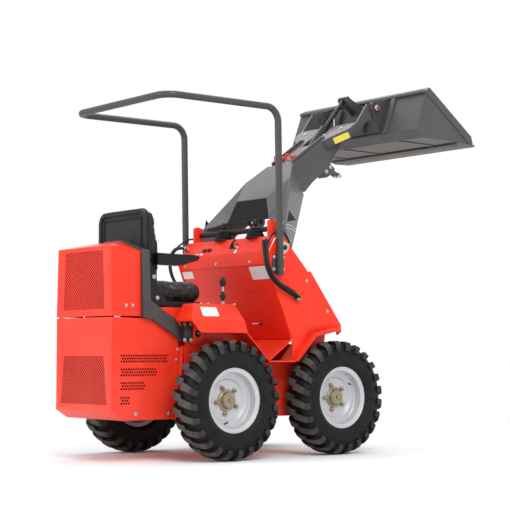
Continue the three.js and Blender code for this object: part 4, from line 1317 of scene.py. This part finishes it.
class LOADER_OT_boom(bpy.types.Operator):
    """Finishes the lift boom with its rails, couplings, caps, bolts and label"""

    bl_idname = "loader.boom"
    bl_label = "Boom"

    def execute(self, context):
        base = stand_in("boom_base", "boom_base_finished", "boom", "boom", 0.0012, 1)
        first, last = at(0, 112, 1322).y - 0.01, at(0, 141, 1445).y + 0.01

        def in_panel(centre, normal):
            inside = first < centre.y < last and 1.30 < centre.z < 1.45 and abs(centre.x) < 0.2
            return normal.y < -0.8 and inside

        second_finish(base, "dark_and_shade", in_panel)
        stand_in("boom_beam", "boom_beam_finished", "boom", "beam", 0.0012, 1)
        stand_in("auxiliary_couplings", "couplings_finished", "boom", "beam", 0.002, 2)
        nipple = [(0, 13.5), (12, 13.5), (13, 11), (20, 11), (22, 9), (30, 8.5)]
        flow = Vector((0, 52, -20)).normalized()
        ends = [turned("nipple", nipple, at(x, 741, 1630.4), flow, 20) for x in (55, 85)]
        dress(smooth(joined("coupling_nipples", ends), 0.5), "boom", "zinc")
        bolts("coupling_bolts", "boom", outward_spots(104, [(636, 1640), (668, 1668)], [1]), 0.0085)
        corners = ((0.02, 0.0004), (0.02, 0.018), (0.30, 0.018), (0.33, 0.0004))
        for name, side in HANDS:
            outline = [on_boom(side * 0.094, along, off) for along, off in corners]
            eased(slab(f"boom_rail_{name}", outline, ALONG_X * side * -0.008), "boom", "beam", 0.001)
        spots = ((0.16, 0.415), (-0.16, 0.415), (0.07, 0.35))
        places = [(on_boom(x, along, 0.0004), RAIL_UP) for x, along in spots]
        bolts("boom_head_bolts", "boom", places, 0.0075)
        link = [(100, 1352), (152, 1300), (86, 1286)]
        for name, side in HANDS:
            near, far = at(side * 104.6, 596, 1811), at(side * 243.5, 690, 1877)
            down = -RAIL_UP * 0.048
            inward = (far - near).cross(down).normalized() * side
            gusset = slab(f"head_gusset_{name}", [near, far, far + down, near + down], inward * 0.005)
            eased(gusset, "boom", "beam", 0.0012)
            if side > 0:
                spot = near.lerp(far, 0.66) + down * 0.52 - inward * 0.0004
                label("boom_label", "boom", spot, -inward, -down, 0.098, 0.038, "amber_label")
            plate = upright(f"boom_corner_plate_{name}", side * 372.3, link, 0.003)
            eased(plate, "boom", "black", 0.0008, 1)
            tubes = []
            for lift in (0, 17):
                line = [(70, 1268 - lift), (96, 1272 - lift), (120, 1268 - lift), (150, 1244 - lift)]
                tubes.append(piped("tube", [at(side * 376.3, y, z) for y, z in line], 0.0036, 12))
            dress(smooth(joined(f"boom_pipes_{name}", tubes)), "boom", "zinc")
        for i, side in enumerate(SIDES):
            loop = []
            for step in range(15):
                turn = math.pi * 2 * step / 14
                across, up = math.cos(turn), math.sin(turn)
                loop.append(on_boom(side * 0.05 + 0.01 * across, 0.04 + 0.012 * across, 0.03 + 0.022 * up))
            dress(smooth(piped(f"dust_cap_loop_{i}", loop, 0.004, 8)), "boom", "cap")
            place = on_boom(side * 0.05, 0.08, 0.002)
            round_part(f"dust_cap_{i}", "boom", "cap", [(0, 13), (16, 13), (20, 9)], place, RAIL_UP, 20)
        return {"FINISHED"}


class LOADER_OT_cylinders(bpy.types.Operator):
    """Finishes the barrels and rods of the lift and tilt cylinders"""

    bl_idname = "loader.cylinders"
    bl_label = "Cylinders"

    def execute(self, context):
        for name, rod_kind in (("lift", "chrome"), ("tilt", "nitride")):
            paint(f"{name}_cylinder_barrel", "black")
            paint(f"{name}_cylinder_rod", rod_kind)
        return {"FINISHED"}


BACK_RISE = Vector((0, 88, 238)).normalized()  # up along the back of the bucket
BACK_OUT = Vector((0, -BACK_RISE.z, BACK_RISE.y))  # out of the back of the bucket


def back_plate(name, left, right, low, high, thickness):
    """A plate on the back of the bucket, from millimetres across and up it."""
    heel = at(0, 936, 1871) + BACK_OUT * 0.0004
    corners = ((left, low), (right, low), (right, high), (left, high))
    outline = [heel + ALONG_X * (x / 1000) + BACK_RISE * (up / 1000) for x, up in corners]
    return slab(name, outline, BACK_OUT * thickness)


class LOADER_OT_bucket(bpy.types.Operator):
    """Finishes the bucket, its back plates, wear strips and the coupler with its locking handle"""

    bl_idname = "loader.bucket"
    bl_label = "Bucket"

    def execute(self, context):
        shell = stand_in("bucket_shell", "bucket_finished", "bucket", "beam", 0.0015, 1)
        second_finish(shell, "primer", lambda centre, normal: normal.z < -0.95 and centre.z < 1.84)
        stand_in("coupler_frame", "coupler_finished", "bucket", "dark", 0.0012, 1)
        stand_in("cutting_edge", "cutting_edge_finished", "bucket", "primer", 0.001, 1)
        band = [
            (1050, 2132), (1417, 1874), (1432, 1827.5), (1384, 1827.5), (1383, 1838), (1019, 2096),
            (1024, 2109),
        ]
        pin = [(0, 17.5), (5, 17.5), (7.5, 15)]
        plug = [(0, 8.5), (2, 8.5), (3, 7)]
        for name, side in HANDS:
            eased(upright(f"bucket_side_edge_{name}", side * 550.3, band, 0.005), "bucket", "beam", 0.0012)
            out = (side, 0, 0)
            place = at(side * 274.7, 892, 2027)
            round_part(f"coupler_pin_{name}", "bucket", "zinc", pin, place, out, 32, 0.5)
            place = at(side * 282.3, 892, 2027)
            round_part(f"coupler_plug_{name}", "bucket", "cap", plug, place, out, 20, 0.5)
        for name, x in (("left", -300), ("right", 300)):
            rib = back_plate(f"bucket_back_rib_{name}", x - 16, x + 16, 4, 250, 0.012)
            eased(rib, "bucket", "beam", 0.0015)
        eased(back_plate("bucket_top_lip", -549, 549, 236, 256, 0.014), "bucket", "beam", 0.003, 3)
        for name, x in (("right", 370), ("middle", -100), ("left", -400)):
            strip = block(f"wear_strip_{name}", at(x - 14, 992, 1821), at(x + 14, 1296, 1826.8))
            eased(strip, "bucket", "dark", 0.0015)
        # a dark bar along the back of the cutting edge under the floor: painted shadow of the edge
        eased(block("edge_shadow_bar", at(-549, 1284, 1813), at(549, 1301.5, 1826.8)), "bucket", "dark", 0.002)
        line = ((-113, 905, 1965), (-113, 904, 2020), (-110, 901, 2046), (-92, 898, 2058), (-45, 894, 2058))
        hook = piped("locking_handle", [at(x, y, z) for x, y, z in line], 0.006, 12)
        dress(smooth(hook, 0.9), "bucket", "zinc")
        return {"FINISHED"}


# ---------------------------------------------------------------- studio


def floor_look():
    """A white floor that shows shadows near the machine and melts into the backdrop far from it."""
    look = Look("floor_white")
    cloud = look.noise(1.4, 2.0)
    look.set(Base_Color=look.mix(cloud * 0.3, (0.93, 0.93, 0.93), (0.90, 0.90, 0.90)), Roughness=0.9)
    kinds = ("Camera", "Glossy", "Transmission")
    rays = [look.node("ShaderNodeLightPath", {}, {}, f"Is {kind} Ray") for kind in kinds]
    seen = (rays[0] + rays[1] + rays[2]).clamped()
    distance = look.node("ShaderNodeVectorMath", {"operation": "LENGTH"}, {0: look.place}, "Value")
    far = distance.between(1.6, 5.0)
    white = look.node("ShaderNodeEmission", {}, {"Color": (1, 1, 1, 1), "Strength": 1.0}, "Emission")
    shaded = Field(look, look.shader.outputs["BSDF"])
    floor = look.node("ShaderNodeMixShader", {}, {0: seen * far, 1: shaded, 2: white}, "Shader")
    look.tree.links.new(floor.socket, look.tree.nodes["Material Output"].inputs["Surface"])
    return look.material


class LOADER_OT_studio(bpy.types.Operator):
    """Sets up the floor, backdrop, lights and camera"""

    bl_idname = "loader.studio"
    bl_label = "Studio"

    def execute(self, context):
        settings = context.scene.loader_studio
        scene = context.scene
        deselect()
        bpy.ops.mesh.primitive_plane_add(size=60, location=(0, 0, -0.0005))
        floor = settle(bpy.context.object, "floor")
        floor.data.materials.append(floor_look())
        world = bpy.data.worlds.new("studio")
        world.use_nodes = True
        scene.world = world
        tree = world.node_tree
        tree.nodes.clear()
        kinds = {
            "path": "LightPath", "seen": "Math", "both": "Math", "even": "Background", "white": "Background",
            "choose": "MixShader", "out": "OutputWorld",
        }
        made = {name: tree.nodes.new("ShaderNode" + kind) for name, kind in kinds.items()}
        made["seen"].operation = made["both"].operation = "MAXIMUM"
        skies = (("even", (0.93, 0.96, 1.0, 1), settings.sky), ("white", (1, 1, 1, 1), 1.0))
        for name, colour, strength in skies:
            made[name].inputs["Color"].default_value = colour
            made[name].inputs["Strength"].default_value = strength
        links = (
            ("path", "Is Camera Ray", "seen", 0), ("path", "Is Glossy Ray", "seen", 1),
            ("seen", 0, "both", 0), ("path", "Is Transmission Ray", "both", 1), ("both", 0, "choose", 0),
            ("even", 0, "choose", 1), ("white", 0, "choose", 2), ("choose", 0, "out", "Surface"),
        )
        for source, outlet, end, inlet in links:
            tree.links.new(made[source].outputs[outlet], made[end].inputs[inlet])
        target = Vector((0, 0, 0.9))  # what the lamps point at
        lamps = (
            ("key", Vector((4.6, -2.4, 4.6)), 3.2, settings.key),
            ("fill", Vector((-1.2, -6.0, 2.6)), 3.0, settings.fill),
            ("top", Vector((-1.5, 1.5, 5.5)), 4.0, 130.0),
        )
        for name, place, size, power in lamps:
            lamp = bpy.data.lights.new(name, "AREA")
            lamp.size = size
            lamp.energy = power
            holder = bpy.data.objects.new(name, lamp)
            holder.location = place
            holder.rotation_euler = (target - place).to_track_quat("-Z", "Y").to_euler()
            scene.collection.objects.link(holder)
        camera = bpy.data.cameras.new("camera")
        camera.lens = settings.lens
        camera.sensor_width = 36
        camera.clip_end = 200
        viewer = bpy.data.objects.new("camera", camera)
        viewer.location = (6.142, at(0, -4983, 0).y, 0.572)
        turn, rise = math.radians(50.02), math.radians(3.89)
        gaze = Vector((-math.sin(turn) * math.cos(rise), math.cos(turn) * math.cos(rise), math.sin(rise)))
        viewer.rotation_euler = gaze.to_track_quat("-Z", "Y").to_euler()
        scene.collection.objects.link(viewer)
        scene.camera = viewer
        scene.view_settings.view_transform = "Standard"
        return {"FINISHED"}


# ---------------------------------------------------------------- add-on


class LOADER_PT_panel(bpy.types.Panel):
    """Lists the building steps and their settings"""

    bl_label = "Ride-on loader"
    bl_idname = "LOADER_PT_panel"
    bl_space_type = "VIEW_3D"
    bl_region_type = "UI"
    bl_category = "Loader"

    def draw(self, context):
        layout = self.layout
        for group in (context.scene.loader_finish, context.scene.loader_tyres, context.scene.loader_studio):
            column = layout.column(align=True)
            for key in group.__annotations__:
                column.prop(group, key)
        for step in STEPS:
            layout.operator(step.bl_idname)


GROUPS = {"loader_finish": LoaderFinish, "loader_tyres": LoaderTyres, "loader_studio": LoaderStudio}
STEPS = (
    LOADER_OT_wheels, LOADER_OT_engine_box, LOADER_OT_hood, LOADER_OT_hull, LOADER_OT_tower,
    LOADER_OT_controls, LOADER_OT_seat, LOADER_OT_roll_bar, LOADER_OT_hoses, LOADER_OT_boom,
    LOADER_OT_cylinders, LOADER_OT_bucket, LOADER_OT_studio,
)


def register():
    for group in (*GROUPS.values(), *STEPS, LOADER_PT_panel):
        bpy.utils.register_class(group)
    for name, group in GROUPS.items():
        setattr(bpy.types.Scene, name, bpy.props.PointerProperty(type=group))


def unregister():
    for name in GROUPS:
        delattr(bpy.types.Scene, name)
    for group in reversed((*GROUPS.values(), *STEPS, LOADER_PT_panel)):
        bpy.utils.unregister_class(group)


def main():
    register()
    deselect()
    for step in STEPS:
        prefix, name = step.bl_idname.split(".")
        getattr(getattr(bpy.ops, prefix), name)()
    deselect()


if __name__ == "__main__":
    main()
